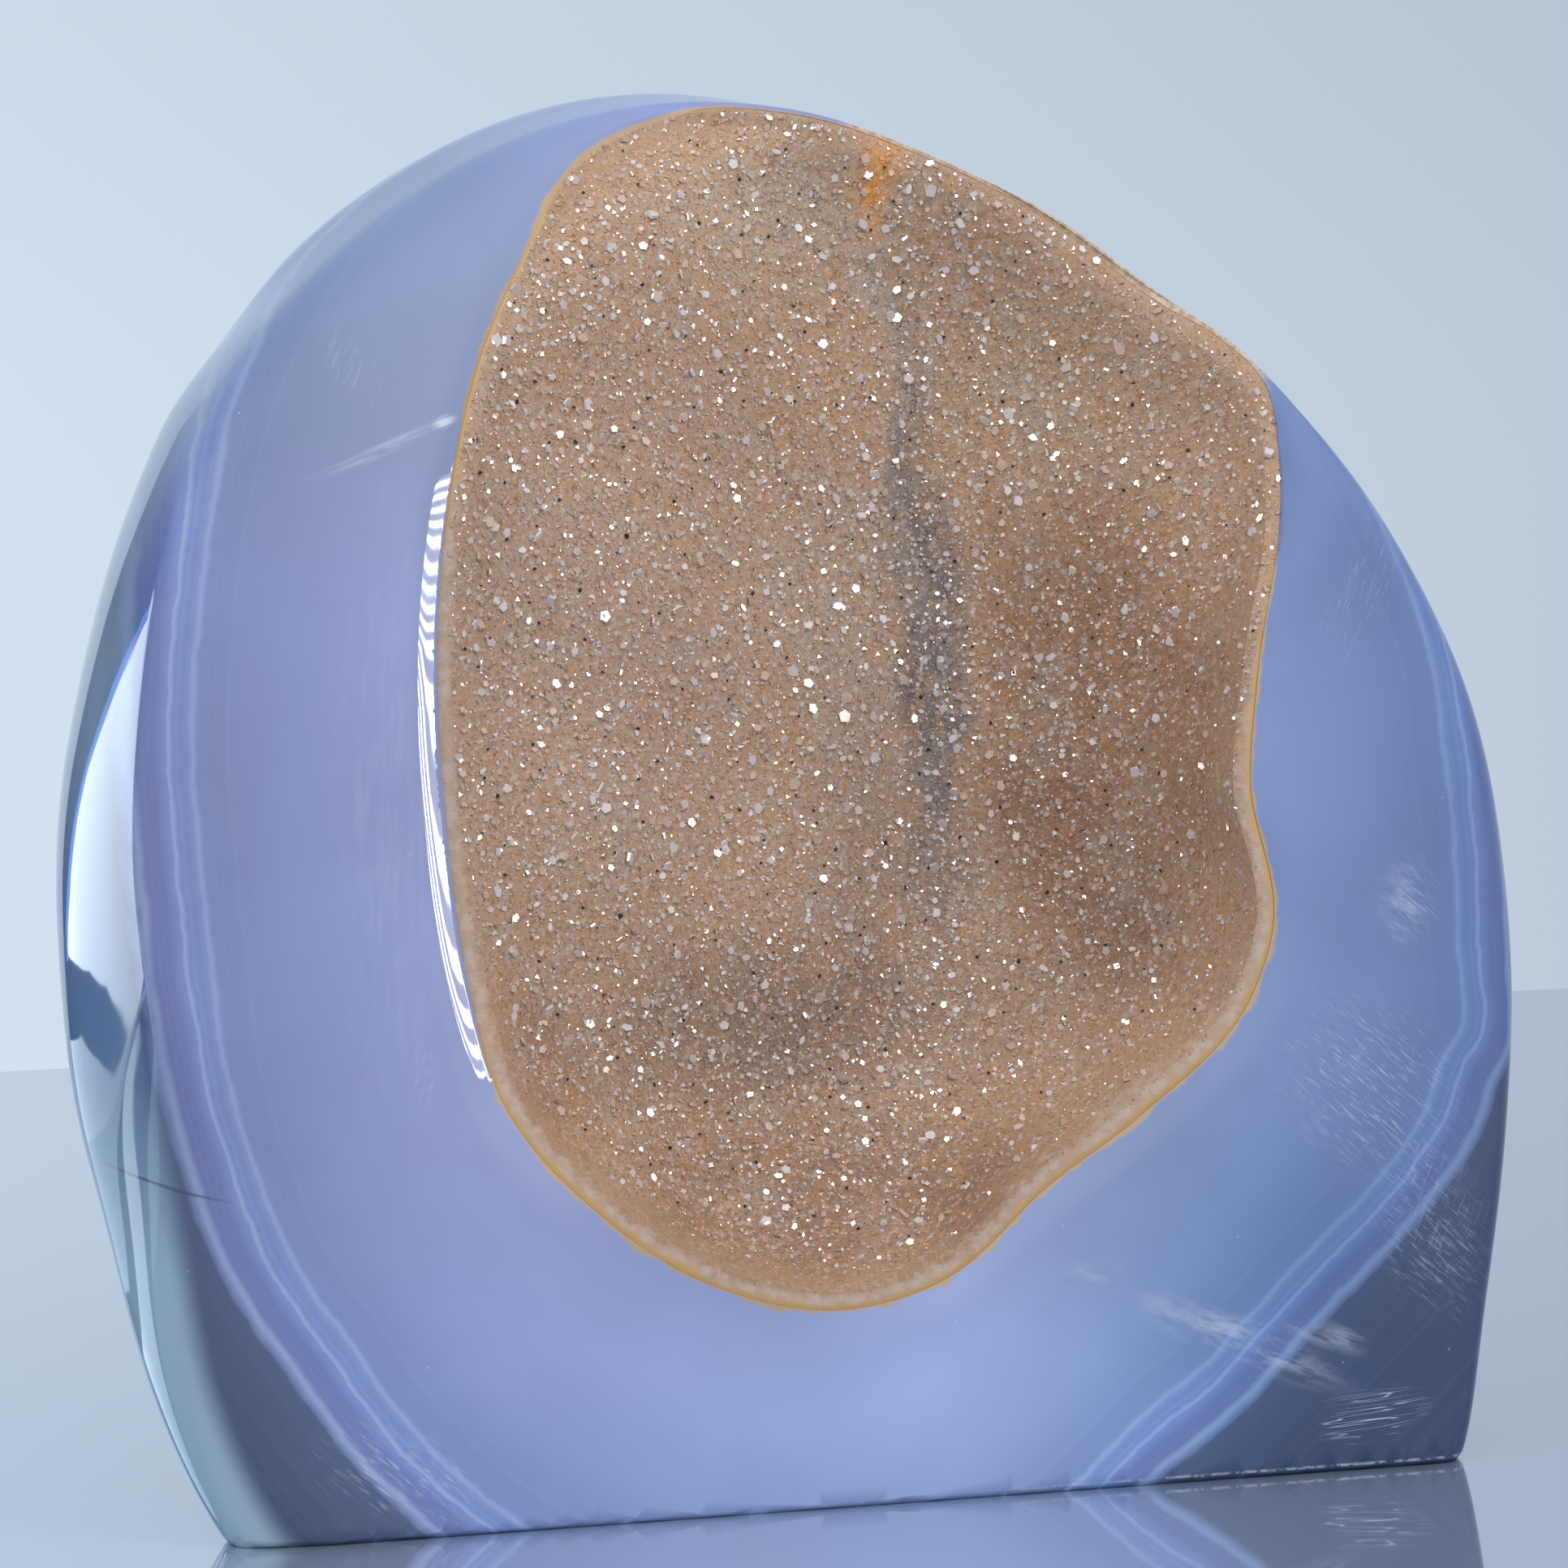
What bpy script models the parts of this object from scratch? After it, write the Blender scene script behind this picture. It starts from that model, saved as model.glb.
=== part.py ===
"""Druzy agate freeform: a polished stone with a flat cut base and a hollow lined with quartz crystals.

The stone stands on its base. Its front faces -Y, +X is to its right, +Z is up, and the origin is the
middle of the base. Sizes and points in this file are millimetres until a mesh is made.
"""
import math
import random

import bmesh
import bpy
import numpy as np
from mathutils import Vector, geometry

MM = 0.001

# The outlines turn about this line through the hollow, given as x and z
MIDDLE = (2.0, 42.0)

# Outlines seen from the front as x and z, from the right side over the top and round
HOLLOW_RIM = [
    (25.4, 41.8), (25.7, 46.0), (26.8, 52.5), (28.0, 57.0), (28.3, 61.0), (27.4, 64.7), (22.5, 70.3),
    (16.2, 75.1), (8.7, 79.1), (0.6, 82.0), (-4.8, 82.5), (-8.7, 81.4), (-12.6, 78.9), (-16.2, 74.0),
    (-19.4, 68.4), (-21.8, 60.0), (-22.8, 50.0), (-22.6, 42.0), (-21.4, 31.0), (-20.0, 25.5),
    (-14.6, 18.6), (-7.6, 13.8), (0.0, 12.0), (5.6, 13.2), (12.2, 18.4), (18.1, 22.4), (25.1, 29.0),
    (26.6, 33.0),
]
FRONT_EDGE = [
    (42.0, 37.0), (41.3, 41.5), (39.5, 47.6), (37.6, 51.6), (33.2, 59.0), (28.2, 65.4), (23.0, 70.9),
    (16.6, 75.7), (8.9, 79.7), (0.4, 82.8), (-4.8, 83.3), (-13.0, 82.0), (-21.5, 78.0), (-29.0, 72.3),
    (-34.4, 65.3), (-38.0, 57.5), (-39.7, 49.0), (-40.4, 39.5), (-39.6, 32.0), (-38.4, 25.3),
    (-37.6, 18.0), (-36.2, 9.5), (-32.0, 0.4), (-24.0, -7.0), (0.0, -11.0), (24.0, -9.0), (37.6, -3.0),
    (40.0, 8.1), (41.8, 19.3), (42.5, 29.4),
]
WIDEST = [
    (43.9, 36.0), (43.0, 44.0), (40.8, 51.5), (37.0, 58.6), (31.0, 64.8), (24.6, 69.9), (17.7, 74.9),
    (10.2, 79.2), (2.0, 83.2), (-4.8, 84.8), (-12.3, 84.4), (-21.4, 80.9), (-29.3, 75.0), (-35.2, 67.5),
    (-39.4, 59.2), (-42.4, 50.4), (-44.4, 41.3), (-44.7, 32.0), (-43.9, 22.8), (-42.6, 18.2),
    (-40.3, 9.0), (-35.3, -1.0), (-26.0, -9.0), (0.0, -13.0), (25.0, -11.0), (38.0, -5.0), (41.6, 6.0),
    (43.3, 18.0), (44.1, 28.0),
]

# Depths, as y
FACE_Y = -18.0
SHOULDER_Y = 13.0
BACK_Y = 19.6
SHOULDER_SHARE = 0.80
FACE_BULGE = 2.4
FACE_HALF_WIDTH = 44.0
FACE_HEIGHT = 84.0
TOP_ROLL_FROM = 58.0
TOP_ROLL = 0.0165

# Along the outlines, as pairs of an angle in degrees from +X towards +Z and a value
OPEN_EDGE = [(0, 0.0), (20, 0.0), (46, 1.0), (84, 1.0), (104, 0.0), (200, 0.0)]
LIP_DROP = [(0, 0.4), (110, 0.4), (150, 1.4), (180, 1.8), (205, 1.5), (225, 0.4), (300, 0.4)]
FRONT_ROUND = [(0, 3.0), (25, 2.0), (45, 0.3), (80, 0.3), (105, 3.0), (130, 5.0), (155, 1.6), (200, 1.2),
               (214, 2.6), (235, 3.0), (270, 2.0), (320, 2.4)]
WIDEST_Y = [(0, 1.0), (150, 1.0), (190, 0.0), (204, -4.0), (216, -9.5), (224, -12.5), (234, -14.0),
            (250, -9.0), (270, 1.0), (320, 1.0)]
LIP_WIDTH = 1.6
OPEN_LIP = 0.3
WIDEST_ROUND = 5.0
SHOULDER_ROUND = 7.0

# The druse: three soft walls that fall to a valley, in a crust of even thickness
VALLEY_Y = -4.6
VALLEY_X = 10.2
LEFT_SLOPE = 0.40
RIGHT_SLOPE = 0.60
FLOOR_Z = 31.0
FLOOR_SLOPE = 0.62
FLOOR_BOW = 0.01
TOP_Z = 60.0
TOP_SLOPE = 0.24
WALL_BLEND = 1.1
RIM_FALL = 1.7
WALL_WAVE = 0.45
WAVE_ACROSS = (0.29, 0.14, 0.0)
WAVE_UP = (-0.11, 0.22, 1.0)
BAND_WIDTH = 0.8
CRUST_THICKNESS = 1.3
GAP = 0.3

# Crystals on the crust
CELL = 2.35
CELL_JITTER = 0.62
RIM_CLEARANCE = 1.5
POINT_HEIGHT = (0.45, 0.95)
POINT_LEAN = 0.22
SEED = 27

AROUND = 64
HOLLOW_STEPS = [0.0, 0.025, 0.06, 0.11, 0.19, 0.30, 0.44, 0.60, 0.78]
BACK_STEPS = [0.7, 0.4]
NEAR_MIDDLE = 15.0


def clear_scene():
    for item in list(bpy.data.objects):
        bpy.data.objects.remove(item)


def make_material(name, colour, roughness):
    material = bpy.data.materials.new(name)
    material.use_nodes = True
    shader = material.node_tree.nodes["Principled BSDF"]
    shader.inputs["Base Color"].default_value = (*colour, 1.0)
    shader.inputs["Roughness"].default_value = roughness
    shader.inputs["Metallic"].default_value = 0.0
    material.diffuse_color = (*colour, 1.0)
    return material


def read_round(angle, knots):
    """Read a smooth closed curve of (angle in degrees, value) knots at the angles given in radians."""
    turn = np.array([knot[0] for knot in knots], float)
    value = np.array([knot[1] for knot in knots], float)
    turn = np.concatenate([turn[-2:] - 360.0, turn, turn[:3] + 360.0])
    value = np.concatenate([value[-2:], value, value[:3]])
    slope = np.gradient(value, turn)
    degrees = np.mod(np.degrees(angle) - turn[2], 360.0) + turn[2]
    at = np.clip(np.searchsorted(turn, degrees, side="right") - 1, 1, len(turn) - 3)
    span = turn[at + 1] - turn[at]
    t = (degrees - turn[at]) / span
    start = (2 * t**3 - 3 * t**2 + 1) * value[at] + (t**3 - 2 * t**2 + t) * span * slope[at]
    end = (3 * t**2 - 2 * t**3) * value[at + 1] + (t**3 - t**2) * span * slope[at + 1]
    return start + end


def read_steps(angle, knots):
    """Read straight runs between (angle in degrees, value) knots at the angles given in radians."""
    return np.interp(np.degrees(angle), *zip(*knots), period=360.0)


def open_share(angle):
    """How far the hollow runs out over the stone's edge, from 0 where its rim is whole to 1."""
    share = read_steps(angle, OPEN_EDGE)
    return share * share * (3.0 - 2.0 * share)


def outline_knots(points):
    """Turn an outline's points into knots of its angle about the middle line and its radius."""
    knots = []
    for x, z in points:
        turn = math.degrees(math.atan2(z - MIDDLE[1], x - MIDDLE[0])) % 360.0
        knots.append((turn, math.hypot(x - MIDDLE[0], z - MIDDLE[1])))
    return sorted(knots)


RIM_KNOTS = outline_knots(HOLLOW_RIM)
EDGE_KNOTS = outline_knots(FRONT_EDGE)
WIDEST_KNOTS = outline_knots(WIDEST)


def place(angle, radius):
    return MIDDLE[0] + radius * np.cos(angle), MIDDLE[1] + radius * np.sin(angle)


def face_y(x, z):
    """Depth of the polished front: a shallow pillow that rolls back towards the top."""
    height = np.clip(z / FACE_HEIGHT, 0.0, 1.0)
    bulge = FACE_BULGE * (1.0 - (x / FACE_HALF_WIDTH) ** 2) * np.sin(math.pi * height)
    roll = TOP_ROLL * np.clip(z - TOP_ROLL_FROM, 0.0, None) ** 2
    return FACE_Y - bulge + roll


def wall_y(x, z):
    """Depth of the druse away from the rim: the nearest of its walls, blended where they meet."""
    walls = [
        VALLEY_Y - LEFT_SLOPE * (VALLEY_X - x),
        VALLEY_Y - RIGHT_SLOPE * (x - VALLEY_X),
        VALLEY_Y - FLOOR_SLOPE * (FLOOR_Z - z) + FLOOR_BOW * (x - VALLEY_X) ** 2,
        VALLEY_Y - TOP_SLOPE * (z - TOP_Z),
        np.full_like(x, VALLEY_Y),
    ]
    nearest = -WALL_BLEND * np.log(sum(np.exp(-wall / WALL_BLEND) for wall in walls))
    across, up = (np.sin(a * x + b * z + shift) for a, b, shift in (WAVE_ACROSS, WAVE_UP))
    return nearest + WALL_WAVE * across * up


def rim_y(angle, radius):
    """Depth of the hollow's rim: on the front face, or on the druse's own wall where it is open."""
    x, z = place(angle, radius)
    opened = open_share(angle)
    closed_y = face_y(x, z) + read_round(angle, LIP_DROP)
    return closed_y * (1.0 - opened) + wall_y(x, z) * opened


def druse_y(x, z):
    """Depth of the crystals' bed at any place inside the rim."""
    angle = np.arctan2(z - MIDDLE[1], x - MIDDLE[0])
    rim = read_round(angle, RIM_KNOTS)
    inside = np.clip(rim - GAP - BAND_WIDTH - np.hypot(x - MIDDLE[0], z - MIDDLE[1]), 0.0, None)
    wall = wall_y(x, z)
    return wall + (rim_y(angle, rim) - wall) * np.exp(-inside / RIM_FALL)


def round_share(size, side):
    """The share of a profile's side that a corner's round takes, always short of half."""
    return np.minimum(size / np.linalg.norm(side, axis=0), 0.48)


def rounded(corners, rounds, steps):
    """Sample a profile of corners, each turned into a curve that starts its round before the corner."""
    rings = [corners[0]]
    for before, corner, after, size in zip(corners, corners[1:], corners[2:], rounds):
        entry = corner + (before - corner) * round_share(size, before - corner)
        leave = corner + (after - corner) * round_share(size, after - corner)
        for step in range(steps + 1):
            t = step / steps
            rings.append((1 - t) ** 2 * entry + 2 * t * (1 - t) * corner + t * t * leave)
    return rings


def outside_rings(angle):
    """Rings of radius and depth from the hollow's rim over the front face and round to the back."""
    rim = read_round(angle, RIM_KNOTS)
    edge = read_round(angle, EDGE_KNOTS)
    widest = read_round(angle, WIDEST_KNOTS)
    opened = open_share(angle)
    start_y = rim_y(angle, rim)

    def on_face(radius):
        depth = face_y(*place(angle, radius))
        return np.array([radius, depth * (1.0 - opened) + (start_y + OPEN_LIP) * opened])

    lip_width = np.minimum(LIP_WIDTH, 0.35 * (edge - rim))
    corners = [
        np.array([rim, start_y]),
        on_face(rim + lip_width),
        on_face(rim + 0.6 * (edge - rim)),
        on_face(edge),
        np.array([widest, read_round(angle, WIDEST_Y)]),
        np.array([SHOULDER_SHARE * widest, SHOULDER_Y + 0.0 * angle]),
    ]
    back = [
        np.array([SHOULDER_SHARE * step * widest, BACK_Y - (BACK_Y - SHOULDER_Y) * step**2 + 0.0 * angle])
        for step in BACK_STEPS
    ]
    edge_round = read_round(angle, FRONT_ROUND)
    rounds = [0.8 * lip_width, 0.5 * lip_width, edge_round, WIDEST_ROUND, SHOULDER_ROUND]
    return rounded(corners + back[:1], rounds, 2) + back


def druse_rings(angle):
    """Rings of the crystals' bed from the band inside the rim towards the middle."""
    start = read_round(angle, RIM_KNOTS) - GAP - BAND_WIDTH
    return [
        np.array([start * (1 - step), druse_y(*place(angle, start * (1 - step)))]) for step in HOLLOW_STEPS
    ]


def behind(rings, distance, edge_distance):
    """Rings at a distance behind the given ones, measured square to their profile."""
    stack = np.array(rings)
    along = np.gradient(stack, axis=0)
    square = np.stack([along[:, 1], -along[:, 0]], axis=1) / np.linalg.norm(along, axis=1, keepdims=True)
    result = stack + distance * square
    result[0] = stack[0]
    result[0, 0] += edge_distance
    return list(result)


def middle_y(distance):
    """Depth of the middle line's point at a distance behind the crystals' bed."""
    side = np.array([MIDDLE[0] - 1.0, MIDDLE[0], MIDDLE[0] + 1.0])
    depth = druse_y(side, np.array(MIDDLE[1]))
    return float(depth[1] + distance * math.hypot(1.0, (depth[2] - depth[0]) / 2.0))


def ring_grid(bm, angle, rings):
    """Bend a grid into rings about the middle line and close its seam. Returns its vertices."""
    grid = bmesh.ops.create_grid(bm, x_segments=len(angle), y_segments=len(rings) - 1, size=1.0)
    for vertex in grid["verts"]:
        column = round((vertex.co.x + 1.0) / 2.0 * len(angle)) % len(angle)
        row = round((vertex.co.y + 1.0) / 2.0 * (len(rings) - 1))
        radius, depth = rings[row][:, column]
        x, z = place(angle[column], radius)
        vertex.co = Vector((x, depth, z)) * MM
    return grid["verts"]


def near_middle(edge):
    corner = edge.verts[0].co / MM
    return math.hypot(corner.x - MIDDLE[0], corner.z - MIDDLE[1]) < NEAR_MIDDLE


def cap_loop(bm, loop, depth):
    """Fill a loop of edges round the middle line with a fan to one point at the given depth."""
    cap = bmesh.ops.contextual_create(bm, geom=loop)["faces"]
    tip = bmesh.ops.poke(bm, faces=cap)["verts"][0]
    tip.co = Vector((MIDDLE[0], depth, MIDDLE[1])) * MM


def finish_object(bm, name, material):
    bmesh.ops.triangulate(bm, faces=[face for face in bm.faces if len(face.verts) > 3])
    bmesh.ops.recalc_face_normals(bm, faces=bm.faces)
    if bm.calc_volume(signed=True) < 0:
        bmesh.ops.reverse_faces(bm, faces=bm.faces)
    mesh = bpy.data.meshes.new(name)
    bm.to_mesh(mesh)
    bm.free()
    mesh.materials.append(material)
    item = bpy.data.objects.new(name, mesh)
    bpy.context.scene.collection.objects.link(item)
    return item


def make_stone():
    """The polished chalcedony, with its hollow in front and its base cut flat."""
    angle = np.arange(AROUND) * 2 * math.pi / AROUND
    bed = druse_rings(angle)
    hollow = behind(bed, CRUST_THICKNESS + GAP, BAND_WIDTH + GAP)
    rings = hollow[:0:-1] + outside_rings(angle)
    bm = bmesh.new()
    ring_grid(bm, angle, rings)
    bmesh.ops.remove_doubles(bm, verts=bm.verts, dist=0.00001)
    ends = [edge for edge in bm.edges if edge.is_boundary]
    cap_loop(bm, [edge for edge in ends if edge.verts[0].co.y < 0.005], middle_y(CRUST_THICKNESS + GAP))
    cap_loop(bm, [edge for edge in ends if edge.verts[0].co.y >= 0.005], BACK_Y)
    whole = list(bm.verts) + list(bm.edges) + list(bm.faces)
    cut = bmesh.ops.bisect_plane(
        bm, geom=whole, dist=0.00002, plane_co=(0, 0, 0), plane_no=(0, 0, -1), clear_outer=True
    )
    base_edges = [item for item in cut["geom_cut"] if isinstance(item, bmesh.types.BMEdge)]
    bmesh.ops.contextual_create(bm, geom=base_edges)
    return finish_object(bm, "agate_stone", make_material("chalcedony", (0.27, 0.35, 0.60), 0.08))


def crystal_places():
    """Jittered places in a three-way net inside the rim, as x and z."""
    draw = random.Random(SEED)
    row_height = CELL * math.sqrt(3) / 2
    reach = round(1.5 * max(radius for _, radius in RIM_KNOTS) / CELL)
    places = []
    for row in range(-reach, reach + 1):
        for column in range(-reach, reach + 1):
            x = MIDDLE[0] + CELL * (column + 0.5 * (row % 2)) + CELL_JITTER * draw.uniform(-1, 1)
            z = MIDDLE[1] + row_height * row + CELL_JITTER * draw.uniform(-1, 1)
            turn = np.array(math.atan2(z - MIDDLE[1], x - MIDDLE[0]))
            limit = float(read_round(turn, RIM_KNOTS)) - GAP - BAND_WIDTH - RIM_CLEARANCE
            if math.hypot(x - MIDDLE[0], z - MIDDLE[1]) < limit:
                places.append((x, z))
    return places


def make_crust():
    """The druse: one crust that lines the hollow, its front grown into flat-faced crystal points."""
    angle = np.arange(AROUND) * 2 * math.pi / AROUND
    bed = druse_rings(angle)
    back = behind(bed, CRUST_THICKNESS, BAND_WIDTH)
    bm = bmesh.new()
    ring_grid(bm, angle, bed[:1] + back)
    bmesh.ops.remove_doubles(bm, verts=bm.verts, dist=0.00001)
    ends = [edge for edge in bm.edges if edge.is_boundary]
    cap_loop(bm, [edge for edge in ends if near_middle(edge)], middle_y(CRUST_THICKNESS))

    rim_x, rim_z = place(angle, bed[0][0])
    flat = list(zip(rim_x.tolist(), rim_z.tolist())) + crystal_places()
    outline = [(index, (index + 1) % AROUND) for index in range(AROUND)]
    found = geometry.delaunay_2d_cdt([Vector(point) for point in flat], outline, [], 1, 0.0001)
    depth = druse_y(np.array([point.x for point in found[0]]), np.array([point.y for point in found[0]]))
    bed_verts = [bm.verts.new(Vector((point.x, y, point.y)) * MM) for point, y in zip(found[0], depth)]
    cells = [bm.faces.new([bed_verts[corner] for corner in triangle]) for triangle in found[2]]
    bm.normal_update()
    facing = [cell for cell in cells if cell.normal.y > 0]
    bmesh.ops.reverse_faces(bm, faces=facing)
    bm.normal_update()
    grow_points(bm, cells)
    bmesh.ops.remove_doubles(bm, verts=bm.verts, dist=0.00001)
    return finish_object(bm, "druse_crust", make_material("quartz_druse", (0.36, 0.24, 0.16), 0.3))


def grow_points(bm, cells):
    """Raise each cell of the bed into one leaning three-sided crystal point."""
    draw = random.Random(SEED + 1)
    normals = {cell: cell.normal.copy() for cell in cells}
    for cell in cells:
        normal = normals[cell]
        side = (cell.verts[draw.randrange(3)].co - cell.calc_center_median()) * POINT_LEAN
        tip = bmesh.ops.poke(bm, faces=[cell])["verts"][0]
        tip.co += normal * draw.uniform(*POINT_HEIGHT) * MM + side


def main():
    clear_scene()
    make_stone()
    make_crust()


main()
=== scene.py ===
"""Looks of the druzy agate freeform: polished banded chalcedony round a hollow of sparkling quartz druse.

Shapes are worked out in millimetres, with x to the stone's right, y to its back and z up from its base,
and become metres when a mesh is made. The outlines and depths repeat the solid model's own.
"""

import math
import random

import bmesh
import bpy
import numpy as np
from mathutils import Matrix, Vector, noise


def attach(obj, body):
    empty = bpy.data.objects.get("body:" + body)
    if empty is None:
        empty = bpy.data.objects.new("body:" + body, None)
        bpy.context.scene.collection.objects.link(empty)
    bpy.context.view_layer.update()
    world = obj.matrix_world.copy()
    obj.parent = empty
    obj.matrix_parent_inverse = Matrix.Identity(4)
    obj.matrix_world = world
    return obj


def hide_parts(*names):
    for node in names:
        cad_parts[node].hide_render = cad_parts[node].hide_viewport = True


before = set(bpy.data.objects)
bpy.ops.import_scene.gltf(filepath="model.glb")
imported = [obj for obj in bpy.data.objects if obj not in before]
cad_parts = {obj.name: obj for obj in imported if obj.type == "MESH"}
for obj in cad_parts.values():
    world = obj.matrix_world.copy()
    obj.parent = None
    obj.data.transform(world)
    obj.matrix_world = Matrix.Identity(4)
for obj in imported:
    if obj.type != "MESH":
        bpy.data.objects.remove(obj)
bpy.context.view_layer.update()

MM = 0.001

# The outlines turn about this line through the hollow, given as x and z
MIDDLE = (2.0, 42.0)

# Outlines seen from the front as x and z, from the right side over the top and round
HOLLOW_RIM = [
    (25.4, 41.8), (25.7, 46.0), (26.8, 52.5), (28.0, 57.0), (28.5, 61.2), (28.1, 65.4), (25.7, 68.3),
    (22.6, 70.5), (16.5, 75.8), (8.8, 79.7), (0.6, 82.4), (-4.8, 82.8), (-8.8, 81.7), (-12.8, 79.4),
    (-16.3, 74.2),
    (-19.4, 68.4), (-21.8, 60.0), (-22.8, 50.0), (-22.6, 42.0), (-21.4, 31.0), (-20.0, 25.5),
    (-14.6, 18.6), (-7.6, 13.8), (0.0, 12.0), (5.6, 13.2), (12.2, 18.4), (18.1, 22.4), (25.1, 29.0),
    (26.6, 33.0),
]
FRONT_EDGE = [
    (42.0, 37.0), (41.3, 41.5), (39.5, 47.6), (37.6, 51.6), (33.2, 59.0), (28.5, 65.7), (25.9, 68.6),
    (22.8, 70.8), (16.7, 76.0), (8.9, 79.9), (0.4, 82.8), (-4.8, 83.3), (-13.0, 82.0), (-21.5, 78.0),
    (-29.0, 72.3),
    (-34.4, 65.3), (-38.0, 57.5), (-39.7, 49.0), (-40.4, 39.5), (-39.6, 32.0), (-38.4, 25.3),
    (-37.6, 18.0), (-36.2, 9.5), (-32.0, 0.4), (-24.0, -7.0), (0.0, -11.0), (24.0, -9.0), (37.6, -3.0),
    (40.0, 8.1), (41.8, 19.3), (42.5, 29.4),
]
WIDEST = [
    (43.9, 36.0), (43.0, 44.0), (40.8, 51.5), (37.0, 58.6), (31.0, 64.8), (24.6, 69.9), (17.7, 74.9),
    (10.2, 79.2), (2.0, 83.2), (-4.8, 84.8), (-12.3, 84.4), (-21.4, 80.9), (-29.3, 75.0), (-35.2, 67.5),
    (-39.4, 59.2), (-42.4, 50.4), (-44.4, 41.3), (-44.7, 32.0), (-43.9, 22.8), (-42.6, 18.2),
    (-40.3, 9.0), (-35.3, -1.0), (-26.0, -9.0), (0.0, -13.0), (25.0, -11.0), (38.0, -5.0), (41.6, 6.0),
    (43.3, 18.0), (44.1, 28.0),
]

# Depths, as y
FACE_Y = -18.0
SHOULDER_Y = 13.0
BACK_Y = 19.6
SHOULDER_SHARE = 0.80
FACE_BULGE = 2.4
FACE_HALF_WIDTH = 44.0
FACE_HEIGHT = 84.0
TOP_ROLL_FROM = 58.0
TOP_ROLL = 0.0165

# Along the outlines, as pairs of an angle in degrees from +X towards +Z and a value
OPEN_EDGE = [(0, 0.0), (20, 0.0), (46, 1.0), (84, 1.0), (104, 0.0), (200, 0.0)]
LIP_DROP = [(0, 0.4), (110, 0.4), (150, 1.4), (180, 1.8), (205, 1.5), (225, 0.4), (300, 0.4)]
FRONT_ROUND = [(0, 3.0), (25, 2.0), (45, 0.3), (80, 0.3), (105, 3.0), (130, 5.0), (155, 1.6), (200, 1.2),
               (214, 2.6), (235, 3.0), (270, 2.0), (320, 2.4)]
WIDEST_Y = [(0, 1.0), (150, 1.0), (190, 0.0), (204, -4.0), (216, -9.5), (224, -12.5), (234, -14.0),
            (250, -9.0), (270, 1.0), (320, 1.0)]
CROWNED = [(0, 0.0), (132, 0.0), (150, 1.0), (234, 1.0), (246, 0.0)]
CROWN = (2.1, -3.0)
LIP_WIDTH = 1.6
OPEN_LIP = 0.3
WIDEST_ROUND = 5.0
SHOULDER_ROUND = 7.0

# The druse: three soft walls that fall to a valley, in a crust of even thickness
VALLEY_Y = -4.6
VALLEY_X = 10.2
LEFT_SLOPE = 0.40
RIGHT_SLOPE = 0.60
FLOOR_Z = 31.0
FLOOR_SLOPE = 0.62
FLOOR_BOW = 0.01
TOP_Z = 60.0
TOP_SLOPE = 0.24
WALL_BLEND = 1.1
RIM_FALL = 1.7
WALL_WAVE = 0.45
WAVE_ACROSS = (0.29, 0.14, 0.0)
WAVE_UP = (-0.11, 0.22, 1.0)
BAND_WIDTH = 0.8
CRUST_THICKNESS = 1.3
GAP = 0.3

# Where the banded stone ends and the clear stone begins, as angle in degrees and radius on the front
CLEAR_FROM = [
    (6.5, 39.3), (11.6, 39.3), (28, 39.2), (45, 42.0), (60, 45.0), (90, 48.0), (120, 49.0), (135, 48.0),
    (150, 46.0), (157, 44.9), (165, 43.9), (172, 43.3), (178, 42.9), (192, 43.0), (203, 44.4),
    (215.7, 46.3), (224.7, 47.3), (233, 48.7), (240, 50.0), (255, 51.5), (270, 51.0), (284, 47.5),
    (293.8, 44.6), (298.8, 44.2), (304.7, 43.4), (313.6, 42.8), (319.3, 43.0), (323.1, 43.3),
    (329.8, 43.5), (334.3, 43.2), (337, 43.5), (343, 42.0), (356.3, 40.0),
]

# How the rim's edge looks along the outline, as pairs of an angle in degrees and a width in mm
RUST_LINE = [(0, 0.26), (14, 0.30), (30, 0.04), (80, 0.04), (96, 0.10), (112, 0.24), (138, 0.28), (150, 0.05),
             (205, 0.03), (216, 0.26), (235, 0.36), (270, 0.30), (300, 0.34), (345, 0.26)]
MILKY_BAND = [(0, 0.55), (14, 0.45), (28, 0.0), (80, 0.0), (100, 0.10), (138, 0.30), (150, 0.60), (200, 0.60),
              (222, 0.75), (250, 0.70), (290, 0.95), (320, 1.10), (345, 0.80)]
QUIET_EDGE = [(0, 1.0), (12, 0.7), (24, 0.15), (140, 0.30), (165, 0.8), (195, 1.0), (215, 1.9), (255, 1.8),
              (290, 1.4), (320, 1.0)]
GROWTH_DEPTH = 50.0
GROWTH_Y = -12.0
FRONT_Y = -19.0

AROUND = 480
PART_AROUND = 64
SEED = 27


def read_round(angle, knots):
    """Read a smooth closed curve of (angle in degrees, value) knots at the angles given in radians."""
    turn = np.array([knot[0] for knot in knots], float)
    value = np.array([knot[1] for knot in knots], float)
    turn = np.concatenate([turn[-2:] - 360.0, turn, turn[:3] + 360.0])
    value = np.concatenate([value[-2:], value, value[:3]])
    slope = np.gradient(value, turn)
    degrees = np.mod(np.degrees(angle) - turn[2], 360.0) + turn[2]
    at = np.clip(np.searchsorted(turn, degrees, side="right") - 1, 1, len(turn) - 3)
    span = turn[at + 1] - turn[at]
    t = (degrees - turn[at]) / span
    start = (2 * t**3 - 3 * t**2 + 1) * value[at] + (t**3 - 2 * t**2 + t) * span * slope[at]
    end = (3 * t**2 - 2 * t**3) * value[at + 1] + (t**3 - t**2) * span * slope[at + 1]
    return start + end


def read_steps(angle, knots):
    """Read straight runs between (angle in degrees, value) knots at the angles given in radians."""
    return np.interp(np.degrees(angle), *zip(*knots), period=360.0)


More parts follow.
